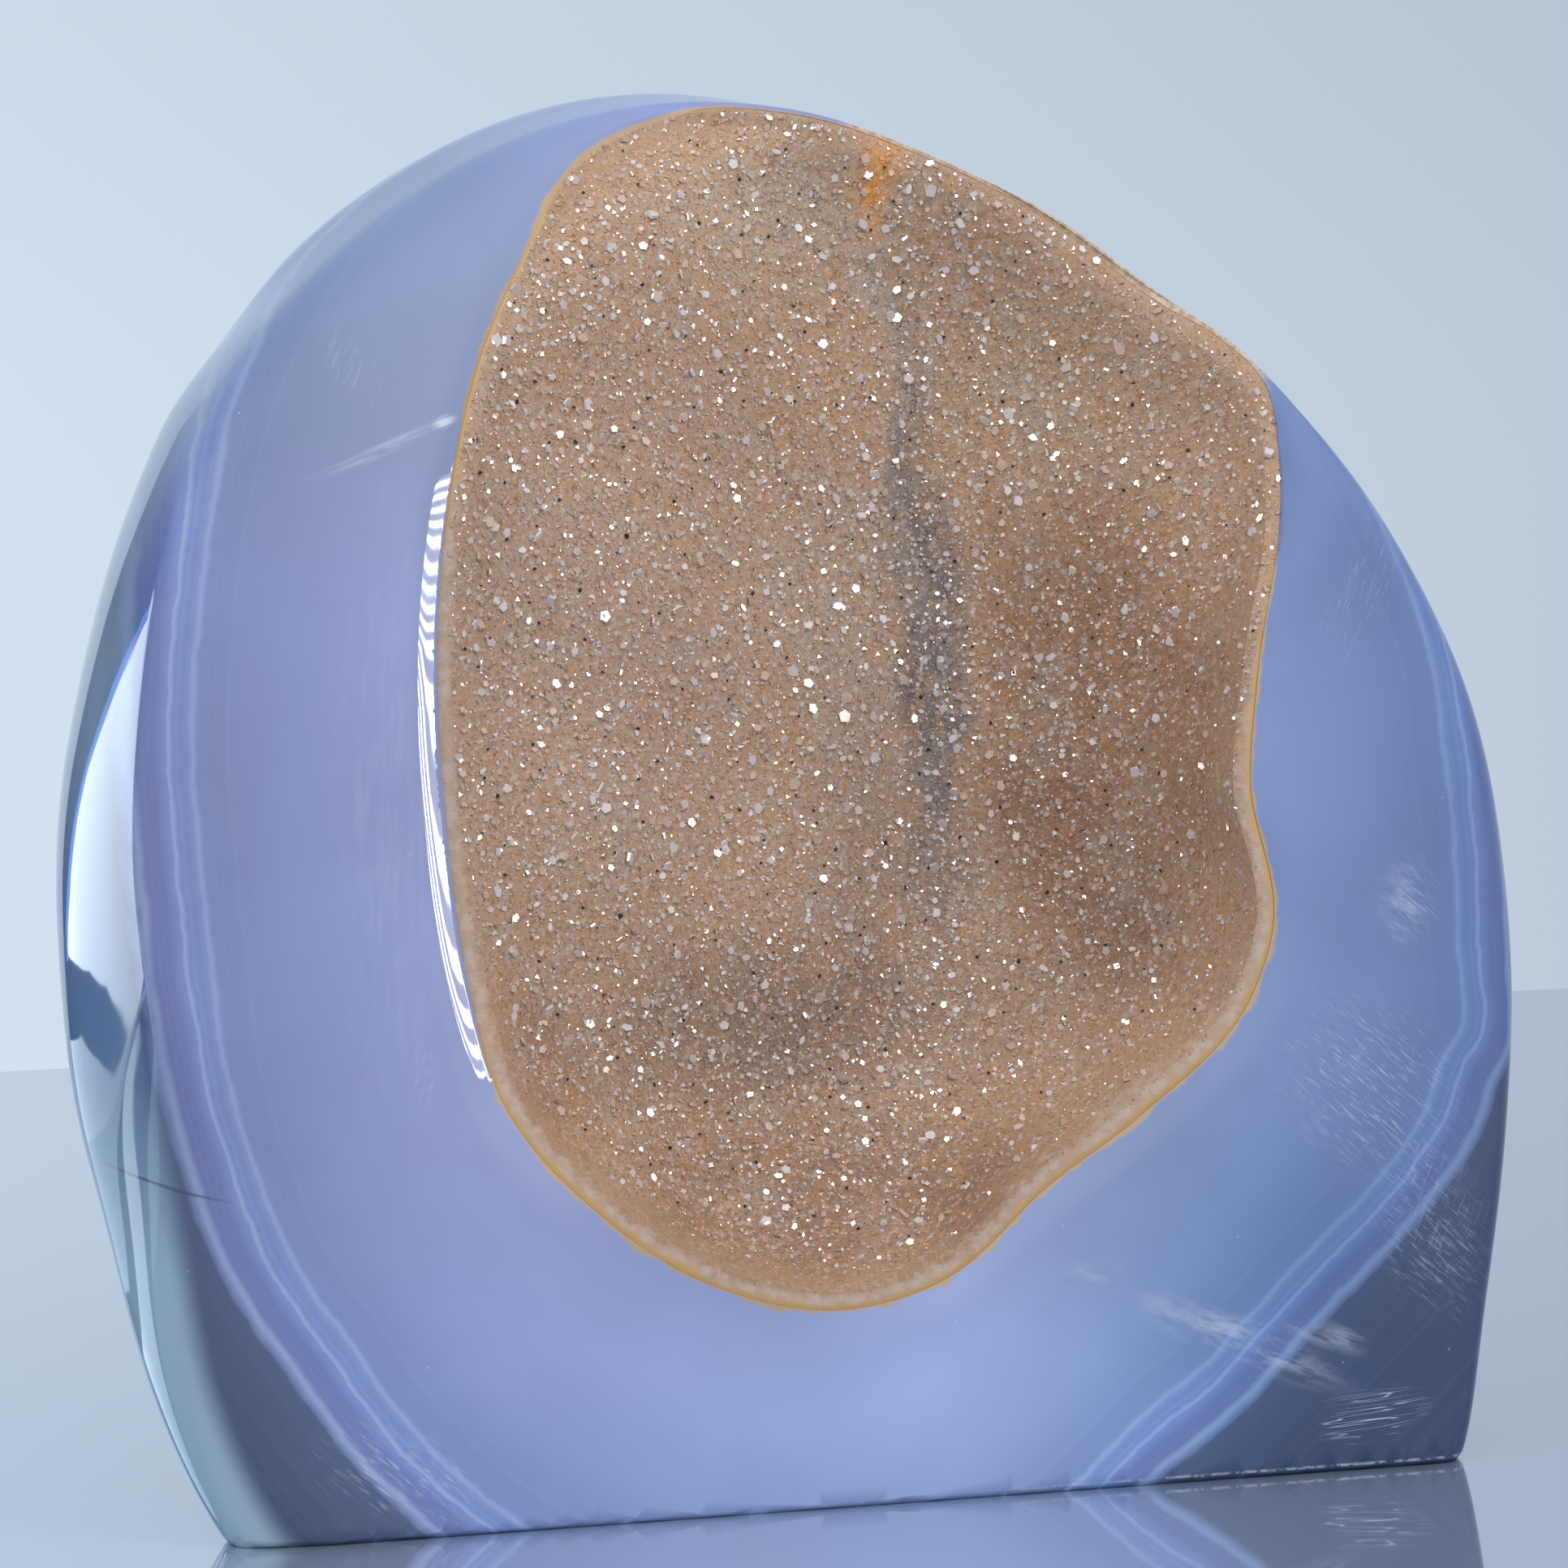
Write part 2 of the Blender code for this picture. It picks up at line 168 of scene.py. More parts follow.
def smooth_step(share):
    share = np.clip(share, 0.0, 1.0)
    return share * share * (3.0 - 2.0 * share)


def soften(values, degrees):
    """Smooth values that go once round the middle line, over about the given angle."""
    waves = np.fft.rfft(values)
    fade = np.exp(-0.5 * (np.arange(len(waves)) * math.radians(degrees)) ** 2)
    return np.fft.irfft(waves * fade, len(values))


def open_share(angle):
    """How far the hollow runs out over the stone's edge, from 0 where its rim is whole to 1."""
    return smooth_step(read_steps(angle, OPEN_EDGE))


def outline_knots(points):
    """Turn an outline's points into knots of its angle about the middle line and its radius."""
    knots = []
    for x, z in points:
        turn = math.degrees(math.atan2(z - MIDDLE[1], x - MIDDLE[0])) % 360.0
        knots.append((turn, math.hypot(x - MIDDLE[0], z - MIDDLE[1])))
    return sorted(knots)


RIM_KNOTS = outline_knots(HOLLOW_RIM)
EDGE_KNOTS = outline_knots(FRONT_EDGE)
WIDEST_KNOTS = outline_knots(WIDEST)


def place(angle, radius):
    return MIDDLE[0] + radius * np.cos(angle), MIDDLE[1] + radius * np.sin(angle)


def turn_of(x, z):
    return np.arctan2(z - MIDDLE[1], x - MIDDLE[0])


def radius_of(x, z):
    return np.hypot(x - MIDDLE[0], z - MIDDLE[1])


def face_y(x, z):
    """Depth of the polished front: a shallow pillow that rolls back towards the top."""
    height = np.clip(z / FACE_HEIGHT, 0.0, 1.0)
    bulge = FACE_BULGE * (1.0 - (x / FACE_HALF_WIDTH) ** 2) * np.sin(math.pi * height)
    roll = TOP_ROLL * np.clip(z - TOP_ROLL_FROM, 0.0, None) ** 2
    return FACE_Y - bulge + roll


def wall_y(x, z):
    """Depth of the druse away from the rim: the nearest of its walls, blended where they meet."""
    walls = [
        VALLEY_Y - LEFT_SLOPE * (VALLEY_X - x),
        VALLEY_Y - RIGHT_SLOPE * (x - VALLEY_X),
        VALLEY_Y - FLOOR_SLOPE * (FLOOR_Z - z) + FLOOR_BOW * (x - VALLEY_X) ** 2,
        VALLEY_Y - TOP_SLOPE * (z - TOP_Z),
        np.full_like(x, VALLEY_Y),
    ]
    nearest = -WALL_BLEND * np.log(sum(np.exp(-wall / WALL_BLEND) for wall in walls))
    across, up = (np.sin(a * x + b * z + shift) for a, b, shift in (WAVE_ACROSS, WAVE_UP))
    return nearest + WALL_WAVE * across * up


def rim_y(angle, radius):
    """Depth of the hollow's rim: on the front face, or on the druse's own wall where it is open."""
    x, z = place(angle, radius)
    opened = open_share(angle)
    closed_y = face_y(x, z) + read_round(angle, LIP_DROP)
    return closed_y * (1.0 - opened) + wall_y(x, z) * opened


def druse_y(x, z):
    """Depth of the crystals' bed at any place inside the rim."""
    angle = turn_of(x, z)
    rim = read_round(angle, RIM_KNOTS)
    inside = np.clip(rim - GAP - BAND_WIDTH - radius_of(x, z), 0.0, None)
    wall = wall_y(x, z)
    return wall + (rim_y(angle, rim) - wall) * np.exp(-inside / RIM_FALL)


def corner_round(before, corner, after, steps):
    """A quadratic curve from one point to another that a corner between them pulls out."""
    rings = []
    for step in range(steps + 1):
        t = step / steps
        rings.append((1 - t) ** 2 * before + 2 * t * (1 - t) * corner + t * t * after)
    return rings


def straight(start, end, steps):
    """The rings between two rings, without them."""
    return [start + (end - start) * step / steps for step in range(1, steps)]


def towards(corner, other, size):
    """The ring at a distance from a corner towards another ring, always short of half way."""
    side = other - corner
    return corner + side * np.minimum(size / np.linalg.norm(side, axis=0), 0.48)


def outside_rings(angle):
    """Rings of radius and depth from the hollow's rim over the front face and round to the back."""
    rim = read_round(angle, RIM_KNOTS)
    edge = np.maximum(soften(read_round(angle, EDGE_KNOTS), 2.5), rim + 0.15)
    widest_radius = soften(read_round(angle, WIDEST_KNOTS), 2.5)
    opened = open_share(angle)
    start_y = rim_y(angle, rim)

    def on_face(radius):
        depth = face_y(*place(angle, radius))
        return np.array([radius, depth * (1.0 - opened) + (start_y + OPEN_LIP) * opened])

    lip_width = np.minimum(LIP_WIDTH, 0.35 * (edge - rim))
    edge_round = np.minimum(soften(read_round(angle, FRONT_ROUND), 4.0), 0.3 * (edge - rim))
    start = np.array([rim, start_y])
    lip = on_face(rim + lip_width)
    front = on_face(edge)
    widest = np.array([widest_radius, soften(read_round(angle, WIDEST_Y), 4.0)])
    shoulder = np.array([SHOULDER_SHARE * widest_radius, SHOULDER_Y + 0.0 * angle])

    def on_back(step):
        depth = BACK_Y - (BACK_Y - SHOULDER_Y) * step**2
        return np.array([SHOULDER_SHARE * step * widest_radius, depth + 0.0 * angle])

    lip_in = towards(lip, start, 0.8 * lip_width)
    lip_out = on_face(rim + 1.5 * lip_width)
    edge_in = on_face(edge - edge_round)
    crowned = smooth_step(read_steps(angle, CROWNED))
    crown = widest + np.array(CROWN)[:, None] * crowned
    edge_out = towards(front, crown, edge_round)
    widest_in = towards(widest, front, WIDEST_ROUND)
    widest_out = towards(widest, shoulder, WIDEST_ROUND)
    shoulder_in = towards(shoulder, widest, SHOULDER_ROUND)
    shoulder_out = on_back(0.86)
    rings = [start] + straight(start, lip_in, 3)
    rings += corner_round(lip_in, lip, lip_out, 8)
    for step in range(1, 22):
        share = step / 22
        rings.append(on_face(lip_out[0] + (edge_in[0] - lip_out[0]) * share))
    rings += corner_round(edge_in, front, edge_out, 8)
    flat_side = straight(edge_out, widest_in, 12) + corner_round(widest_in, widest, widest_out, 9)
    crowned_side = corner_round(edge_out, crown, widest_out, len(flat_side))[1:]
    rings += [flat + (round_ring - flat) * crowned for flat, round_ring in zip(flat_side, crowned_side)]
    rings += straight(widest_out, shoulder_in, 6)
    rings += corner_round(shoulder_in, shoulder, shoulder_out, 9)
    rings += [on_back(0.86 - 0.06 * step) for step in range(1, 13)]
    return rings


def hollow_rings(angle, steps):
    """Rings of the crystals' bed from the band inside the rim towards the middle."""
    start = read_round(angle, RIM_KNOTS) - GAP - BAND_WIDTH
    return [np.array([start * (1 - step), druse_y(*place(angle, start * (1 - step)))]) for step in steps]


def behind(rings, distance, edge_distance):
    """Rings at a distance behind the given ones, measured square to their profile."""
    stack = np.array(rings)
    along = np.gradient(stack, axis=0)
    square = np.stack([along[:, 1], -along[:, 0]], axis=1) / np.linalg.norm(along, axis=1, keepdims=True)
    result = stack + distance * square
    result[0] = stack[0]
    result[0, 0] += edge_distance
    return list(result)


def ring_grid(bm, angle, rings):
    """Bend a grid into rings about the middle line. Its two side edges meet, to be merged."""
    grid = bmesh.ops.create_grid(bm, x_segments=len(angle), y_segments=len(rings) - 1, size=1.0)
    for vertex in grid["verts"]:
        column = round((vertex.co.x + 1.0) / 2.0 * len(angle)) % len(angle)
        row = round((vertex.co.y + 1.0) / 2.0 * (len(rings) - 1))
        radius, depth = rings[row][:, column]
        x, z = place(angle[column], radius)
        vertex.co = Vector((x, depth, z)) * MM
    bmesh.ops.remove_doubles(bm, verts=bm.verts, dist=0.000002)


def cap_loop(bm, loop, depth):
    """Fill a loop of edges round the middle line with a fan to one point at the given depth."""
    cap = bmesh.ops.contextual_create(bm, geom=loop)["faces"]
    tip = bmesh.ops.poke(bm, faces=cap)["verts"][0]
    tip.co = Vector((MIDDLE[0], depth, MIDDLE[1])) * MM


def face_outwards(bm):
    bmesh.ops.recalc_face_normals(bm, faces=bm.faces)
    if bm.calc_volume(signed=True) < 0:
        bmesh.ops.reverse_faces(bm, faces=bm.faces)


def finish_piece(bm, name, material, smooth=True):
    mesh = bpy.data.meshes.new(name)
    bm.to_mesh(mesh)
    bm.free()
    mesh.materials.append(material)
    if smooth:
        mesh.shade_smooth()
        mesh.set_sharp_from_angle(angle=math.radians(50))
    piece = bpy.data.objects.new(name, mesh)
    bpy.context.scene.collection.objects.link(piece)
    return piece


def mesh_points(mesh):
    """A mesh's vertices in millimetres as three arrays."""
    flat = np.empty(len(mesh.vertices) * 3, np.float32)
    mesh.vertices.foreach_get("co", flat)
    return (flat.reshape(-1, 3) / MM).T


def write_values(mesh, name, values):
    """Keep one number for each vertex as an attribute that the material reads."""
    layer = mesh.attributes.new(name, "FLOAT", "POINT")
    layer.data.foreach_set("value", np.ascontiguousarray(values, np.float32))


def growth_of(x, y, z):
    """How far a place lies outside the banded stone, in mm, with the bands as shells in the stone."""
    front = math.sqrt(1.0 - ((FRONT_Y - GROWTH_Y) / GROWTH_DEPTH) ** 2)
    share = np.sqrt(np.clip(1.0 - ((y - GROWTH_Y) / GROWTH_DEPTH) ** 2, 0.0, 1.0)) / front
    return radius_of(x, z) - read_round(turn_of(x, z), CLEAR_FROM) * share


BASE_CHAMFER = 0.35


def make_stone(material):
    """The polished stone with its hollow, its soft front edges and its flat cut base."""
    angle = np.arange(AROUND) * 2 * math.pi / AROUND
    steps = [0.0, 0.012, 0.025, 0.04, 0.06, 0.085, 0.11, 0.15, 0.19, 0.24, 0.30, 0.37, 0.44, 0.52, 0.60,
             0.69, 0.78]
    hollow = behind(hollow_rings(angle, steps), CRUST_THICKNESS + GAP, BAND_WIDTH + GAP)
    bm = bmesh.new()
    ring_grid(bm, angle, hollow[:0:-1] + outside_rings(angle))
    ends = [edge for edge in bm.edges if edge.is_boundary]
    front = druse_y(np.array([MIDDLE[0]]), np.array([MIDDLE[1]]))[0] + CRUST_THICKNESS + GAP
    cap_loop(bm, [edge for edge in ends if edge.verts[0].co.y < 0.005], front)
    cap_loop(bm, [edge for edge in ends if edge.verts[0].co.y >= 0.005], BACK_Y)
    whole = list(bm.verts) + list(bm.edges) + list(bm.faces)
    cut = bmesh.ops.bisect_plane(
        bm, geom=whole, dist=0.000002, plane_co=(0, 0, BASE_CHAMFER * MM), plane_no=(0, 0, -1), clear_outer=True
    )
    base_edges = [item for item in cut["geom_cut"] if isinstance(item, bmesh.types.BMEdge)]
    base = bmesh.ops.contextual_create(bm, geom=base_edges)["faces"]
    face_outwards(bm)
    chip_base(bm, base[0])
    piece = finish_piece(bm, "chalcedony_body", material)
    x, y, z = mesh_points(piece.data)
    write_values(piece.data, "growth", growth_of(x, y, z))
    write_values(piece.data, "past_rim", radius_of(x, z) - read_round(turn_of(x, z), RIM_KNOTS))
    write_values(piece.data, "past_edge", radius_of(x, z) - read_round(turn_of(x, z), EDGE_KNOTS))
    write_values(piece.data, "rust", read_steps(turn_of(x, z), RUST_LINE))
    write_values(piece.data, "from_base", z)
    write_values(piece.data, "opened", open_share(turn_of(x, z)))
    rim = read_round(turn_of(x, z), RIM_KNOTS)
    write_values(piece.data, "behind_rim", y - rim_y(turn_of(x, z), rim))
    return piece


def chip_base(bm, base):
    """Bevel the base's edge unevenly, as a sawn edge that has lost small chips."""
    ring = bmesh.ops.inset_region(bm, faces=[base], thickness=BASE_CHAMFER * MM, use_even_offset=True)
    inner = {vertex for vertex in base.verts}
    for vertex in inner:
        vertex.co.z = 0.0
    for face in ring["faces"]:
        for vertex in face.verts:
            if vertex not in inner:
                bite = noise.noise(vertex.co / MM * 0.8) + 0.6 * noise.noise(vertex.co / MM * 2.3)
                vertex.co.z += 0.3 * BASE_CHAMFER * MM * max(bite, -0.4)


BED_STEPS = 70


def make_bed(material):
    """The crust that carries the crystals, from its polished edge at the rim down into the hollow."""
    angle = np.arange(AROUND) * 2 * math.pi / AROUND
    rim = read_round(angle, RIM_KNOTS)
    top = rim_y(angle, rim)
    band = []
    for inset, rise in ((-0.06, 0.10), (0.1, 0.02), (0.4, -0.01), (0.6, -0.01), (0.8, -0.01), (0.95, 0.0)):
        band.append(np.array([rim - inset, top + rise]))
    steps = [(step / BED_STEPS) ** 1.35 * 0.985 for step in range(BED_STEPS + 1)]
    bed = hollow_rings(angle, steps)
    wobble = np.random.default_rng(SEED).normal(0.0, 0.025, (len(bed), len(angle)))
    for ring, shift in zip(bed[2:], wobble[2:]):
        ring[1] += shift * np.minimum(ring[0] / 12.0, 1.0)
    back_steps = [0.0, 0.025, 0.06, 0.11, 0.19, 0.30, 0.44, 0.60, 0.78]
    back = behind(hollow_rings(angle, back_steps), CRUST_THICKNESS, BAND_WIDTH + GAP - 0.03)
    bm = bmesh.new()
    ring_grid(bm, angle, bed[::-1] + band[::-1] + back[1:])
    ends = [edge for edge in bm.edges if edge.is_boundary]
    middle = druse_y(np.array([MIDDLE[0]]), np.array([MIDDLE[1]]))[0]
    small = [edge for edge in ends if radius_of(*(edge.verts[0].co.xz / MM)) < 1.5]
    large = [edge for edge in ends if radius_of(*(edge.verts[0].co.xz / MM)) >= 1.5]
    cap_loop(bm, small, middle)
    cap_loop(bm, large, middle + CRUST_THICKNESS)
    face_outwards(bm)
    piece = finish_piece(bm, "druse_bed", material)
    x, y, z = mesh_points(piece.data)
    write_values(piece.data, "inset", read_round(turn_of(x, z), RIM_KNOTS) - radius_of(x, z))
    write_values(piece.data, "rust", read_steps(turn_of(x, z), RUST_LINE))
    write_values(piece.data, "milky", read_steps(turn_of(x, z), MILKY_BAND))
    return piece


def crystal_shape(kind):
    """One quartz crystal as vertices and triangles, about one unit across, with its root at the origin."""
    bm = bmesh.new()
    if kind == "grit":
        bmesh.ops.create_cone(bm, cap_ends=True, segments=3, radius1=0.5, radius2=0.0, depth=0.6)
        bmesh.ops.translate(bm, verts=bm.verts, vec=(0, 0, 0.1))
    elif kind == "point":
        bmesh.ops.create_cone(bm, cap_ends=True, segments=6, radius1=0.5, radius2=0.0, depth=0.8)
        bmesh.ops.translate(bm, verts=bm.verts, vec=(0, 0, 0.12))
    elif kind == "block":
        bmesh.ops.create_cube(bm, size=0.62)
        corner = Vector((1, 1, 1)).rotation_difference(Vector((0, 0, 1))).to_matrix()
        bmesh.ops.rotate(bm, verts=bm.verts, cent=(0, 0, 0), matrix=corner)
    else:
        corners = {"plate": 5, "chip": 4, "shard": 3}[kind]
        bmesh.ops.create_cone(bm, cap_ends=True, segments=corners, radius1=0.5, radius2=0.44, depth=0.24)
    bmesh.ops.triangulate(bm, faces=bm.faces)
    points = np.array([vertex.co for vertex in bm.verts])
    bm.verts.index_update()
    faces = np.array([[vertex.index for vertex in face.verts] for face in bm.faces])
    bm.free()
    return points, faces


def bed_normals(x, z):
    """Unit normals of the crystals' bed, out of the hollow."""
    step = 0.15
    slope_x = (druse_y(x + step, z) - druse_y(x - step, z)) / (2 * step)
    slope_z = (druse_y(x, z + step) - druse_y(x, z - step)) / (2 * step)
    normal = np.stack([slope_x, -np.ones_like(x), slope_z], -1)
    return normal / np.linalg.norm(normal, axis=1, keepdims=True)


def clear_of_rim(angle, clearance):
    """How far inside the rim crystals start: close to it at the top, far off low on the left."""
    return clearance * read_steps(angle, QUIET_EDGE)


def net_places(draw, spacing, jitter, clearance):
    """Jittered places in a three-way net inside the rim, as arrays of x and z."""
    row_height = spacing * math.sqrt(3) / 2
    reach = int(1.5 * max(radius for _, radius in RIM_KNOTS) / spacing)
    row, column = np.meshgrid(np.arange(-reach, reach + 1), np.arange(-reach, reach + 1))
    x = MIDDLE[0] + spacing * (column + 0.5 * (row % 2)) + draw.uniform(-jitter, jitter, row.shape)
    z = MIDDLE[1] + row_height * row + draw.uniform(-jitter, jitter, row.shape)
    angle = turn_of(x, z)
    keep = radius_of(x, z) < read_round(angle, RIM_KNOTS) - clear_of_rim(angle, clearance)
    return x[keep], z[keep]


def crystal_frames(draw, normals, lean):
    """Turned and leaning axes for each crystal, as an array of 3 by 3 matrices."""
    axis = normals + draw.normal(0.0, lean, normals.shape)
    axis /= np.linalg.norm(axis, axis=1, keepdims=True)
    side = np.cross(axis, draw.normal(0.0, 1.0, normals.shape))
    side /= np.linalg.norm(side, axis=1, keepdims=True)
    return np.stack([side, np.cross(axis, side), axis], -1)


def joined_crystals(name, parts, material):
    """Make one mesh of many crystals. Each part is their points, triangles and one number for each."""
    points = np.concatenate([part[0].reshape(-1, 3) for part in parts])
    counts = [part[0].shape[0] * part[0].shape[1] for part in parts]
    starts = np.cumsum([0] + counts[:-1])
    faces = np.concatenate([part[1].reshape(-1, 3) + start for part, start in zip(parts, starts)])
    grain = np.concatenate([part[2] for part in parts])
    mesh = bpy.data.meshes.new(name)
    mesh.vertices.add(len(points))
    mesh.vertices.foreach_set("co", (points * MM).astype(np.float32).ravel())
    mesh.loops.add(faces.size)
    mesh.loops.foreach_set("vertex_index", faces.astype(np.int32).ravel())
    mesh.polygons.add(len(faces))
    mesh.polygons.foreach_set("loop_start", np.arange(0, faces.size, 3, dtype=np.int32))
    mesh.update(calc_edges=True)
    mesh.validate()
    mesh.shade_flat()
    mesh.materials.append(material)
    write_values(mesh, "grain", grain)
    piece = bpy.data.objects.new(name, mesh)
    bpy.context.scene.collection.objects.link(piece)
    return piece


# Each layer of crystals: shape, spacing, jitter, clearance from the rim, size range, lean, sink, and the
# range of its grain, the number that gives each crystal its own look
LAYERS = [
    ("grit", 0.26, 0.13, 0.75, (0.15, 0.28), 0.45, 0.03, (0.05, 0.45)),
    ("block", 0.85, 0.42, 1.30, (0.20, 0.42), 0.50, 0.08, (0.15, 0.45)),
    ("shard", 0.60, 0.30, 1.10, (0.14, 0.42), 0.33, -0.02, (0.50, 1.00)),
    ("chip", 0.56, 0.28, 1.10, (0.14, 0.44), 0.33, -0.02, (0.50, 1.00)),
    ("plate", 1.10, 0.55, 1.20, (0.30, 0.74), 0.30, -0.03, (0.50, 1.00)),
    ("block", 2.90, 1.40, 1.60, (0.16, 0.28), 0.50, -0.06, (0.00, 0.01)),
]
SPARKLING = ("shard", "chip", "plate")
ZONE_NAMES = ["lowest", "lower", "upper", "highest"]


def make_crystals(name, layers, material):
    """The crystals of the given layers, joined into one piece for each band of height."""
    draw = np.random.default_rng(SEED)
    zones = [[] for _ in ZONE_NAMES]
    low, high = min(z for _, z in HOLLOW_RIM), max(z for _, z in HOLLOW_RIM)
    for kind, spacing, jitter, clearance, sizes, lean, sink, looks in layers:
        points, faces = crystal_shape(kind)
        x, z = net_places(draw, spacing, jitter, clearance)
        normals = bed_normals(x, z)
        roots = np.stack([x, druse_y(x, z), z], -1) - normals * sink
        axes = crystal_frames(draw, normals, lean)
        small, large = sizes
        size = small + (large - small) * draw.random(len(x)) ** 2.0
        stretch = draw.uniform(0.6, 1.35, (len(x), 3)) * size[:, None]
        local = points[None] * stretch[:, None, :]
        world = np.einsum("nij,nkj->nki", axes, local) + roots[:, None, :]
        grain = np.repeat(draw.uniform(*looks, len(x)), len(points)).reshape(-1, len(points))
        zone = np.clip(((z - low) / (high - low) * len(zones)).astype(int), 0, len(zones) - 1)
        for index, parts in enumerate(zones):
            pick = zone == index
            corners = faces[None] + (np.arange(int(pick.sum())) * len(points))[:, None, None]
            parts.append((world[pick], corners, grain[pick].ravel()))
    return [joined_crystals(f"{name}_{zone}", parts, material) for zone, parts in zip(ZONE_NAMES, zones)]


# Node helpers


def new_material(name):
    material = bpy.data.materials.new(name)
    material.use_nodes = True
    return material, material.node_tree, material.node_tree.nodes["Principled BSDF"]


def add(tree, kind, inputs=None, **settings):
    """Add a shader node. Its inputs are numbers, colours or other nodes' sockets."""
    item = tree.nodes.new("ShaderNode" + kind)
    for key, value in settings.items():
        setattr(item, key, value)
    for key, value in (inputs or {}).items():
        if isinstance(value, bpy.types.NodeSocket):
            tree.links.new(value, item.inputs[key])
        else:
            item.inputs[key].default_value = value
    return item


def maths(tree, operation, a, b=0.0, clamp=False):
    return add(tree, "Math", {0: a, 1: b}, operation=operation, use_clamp=clamp).outputs[0]


def spread(tree, value, low, high, start=0.0, end=1.0, kind="SMOOTHSTEP"):
    """Map a value from one range to another, held at both ends."""
    item = add(tree, "MapRange", {0: value, 1: low, 2: high, 3: start, 4: end}, interpolation_type=kind)
    return item.outputs[0]


def speckle(tree, place_mm, scale, detail=2.0, roughness=0.5):
    """Noise of one number at a scale in repeats for each mm."""
    inputs = {"Vector": place_mm, "Scale": scale, "Detail": detail, "Roughness": roughness}
    return add(tree, "TexNoise", inputs).outputs["Fac"]


def blend(tree, factor, a, b, mode="MIX"):
    item = add(tree, "Mix", data_type="RGBA", blend_type=mode)
    for key, value in ((0, factor), (6, a), (7, b)):
        if isinstance(value, bpy.types.NodeSocket):
            tree.links.new(value, item.inputs[key])
        elif key == 0:
            item.inputs[key].default_value = value
        else:
            item.inputs[key].default_value = (*value, 1.0)
    return item.outputs[2]


def value_of(tree, name):
    return add(tree, "Attribute", attribute_name=name).outputs["Fac"]


def place_in_mm(tree):
    coordinates = add(tree, "TexCoord").outputs["Object"]
    return add(tree, "VectorMath", {0: coordinates, "Scale": 1.0 / MM}, operation="SCALE").outputs[0]


def ramp(tree, value, low, high, stops):
    """A colour ramp whose stops are at values between low and high."""
    item = add(tree, "ValToRGB", {0: spread(tree, value, low, high, kind="LINEAR")})
    elements = item.color_ramp.elements
    while len(elements) > 1:
        elements.remove(elements[-1])
    for index, (at, colour) in enumerate(stops):
        position = (at - low) / (high - low)
        element = elements[0] if index == 0 else elements.new(position)
        element.position = position
        element.color = (*colour, 1.0)
    return item.outputs[0]


def stretched(tree, place_mm, turn, length, width):
    """Places on the front in a frame that is turned, and measured in a length along and a width across."""
    inputs = {
        "Vector": place_mm,
        "Rotation": (0.0, -math.radians(turn), 0.0),
        "Scale": (length, 5.0, width),
    }
    return add(tree, "Mapping", inputs, vector_type="TEXTURE").outputs[0]


def streaks(tree, place_mm, turn, length, width, fullness):
    """Soft streaks of a length and width in mm that run at a turn on the front, from 0 to 1."""
    local = stretched(tree, place_mm, turn, length, width)
    return spread(tree, speckle(tree, local, 1.0, 4.0, 0.65), 0.85 - fullness, 1.15 - fullness)


def hairlines(tree, place_mm, turn, length, width, fullness):
    """Thin broken lines that run at a turn on the front, from 0 to 1. Width is the room between them."""
    local = stretched(tree, place_mm, turn, length, width)
    from_line = maths(tree, "ABSOLUTE", maths(tree, "SUBTRACT", speckle(tree, local, 1.0, 0.0), 0.5))
    line = spread(tree, from_line, 0.05, 0.0)
    whole = spread(tree, speckle(tree, local, 0.7, 2.0, 0.6), 0.78 - fullness, 0.95 - fullness)
    return maths(tree, "MULTIPLY", line, whole)


def patch(tree, place_mm, centre, radii, turn=0.0, soft=0.6):
    """A soft oval mask on the front, from 1 at its centre to 0 at its edge. Centre and radii are x and z."""
    inputs = {
        "Vector": place_mm,
        "Location": (centre[0], 0.0, centre[1]),
        "Rotation": (0.0, -math.radians(turn), 0.0),
        "Scale": (radii[0], 1000.0, radii[1]),
    }
    local = add(tree, "Mapping", inputs, vector_type="TEXTURE").outputs[0]
    distance = add(tree, "VectorMath", {0: local}, operation="LENGTH").outputs["Value"]
    return spread(tree, distance, 1.0, 1.0 - soft)


# Finishes

STONE_BANDS = [
    (-32, (0.290, 0.335, 0.575)), (-24, (0.280, 0.335, 0.585)), (-15, (0.290, 0.352, 0.615)),
    (-9, (0.250, 0.315, 0.570)), (-5.5, (0.205, 0.268, 0.505)), (-4.15, (0.195, 0.258, 0.500)),
    (-3.8, (0.275, 0.358, 0.640)), (-3.4, (0.190, 0.265, 0.540)), (-2.70, (0.185, 0.262, 0.550)),
    (-2.5, (0.340, 0.425, 0.700)), (-2.32, (0.180, 0.252, 0.540)), (-1.5, (0.145, 0.192, 0.430)),
    (-0.80, (0.150, 0.195, 0.430)), (-0.45, (0.290, 0.365, 0.600)), (-0.12, (0.190, 0.255, 0.490)),
    (0.2, (0.066, 0.096, 0.198)), (6.0, (0.044, 0.068, 0.148)),
]

# The clear side's colours by height: its own dark clear tone with painted reflection, lighter at the foot and near the
# top and darkest from 27 to 34 mm
SIDE_TONE_AND_PAINTED_REFLECTION = [
    (16.0, (0.340, 0.500, 0.620)), (23.0, (0.210, 0.330, 0.470)), (27.0, (0.155, 0.250, 0.430)),
    (34.0, (0.155, 0.250, 0.430)), (50.0, (0.300, 0.410, 0.520)),
]

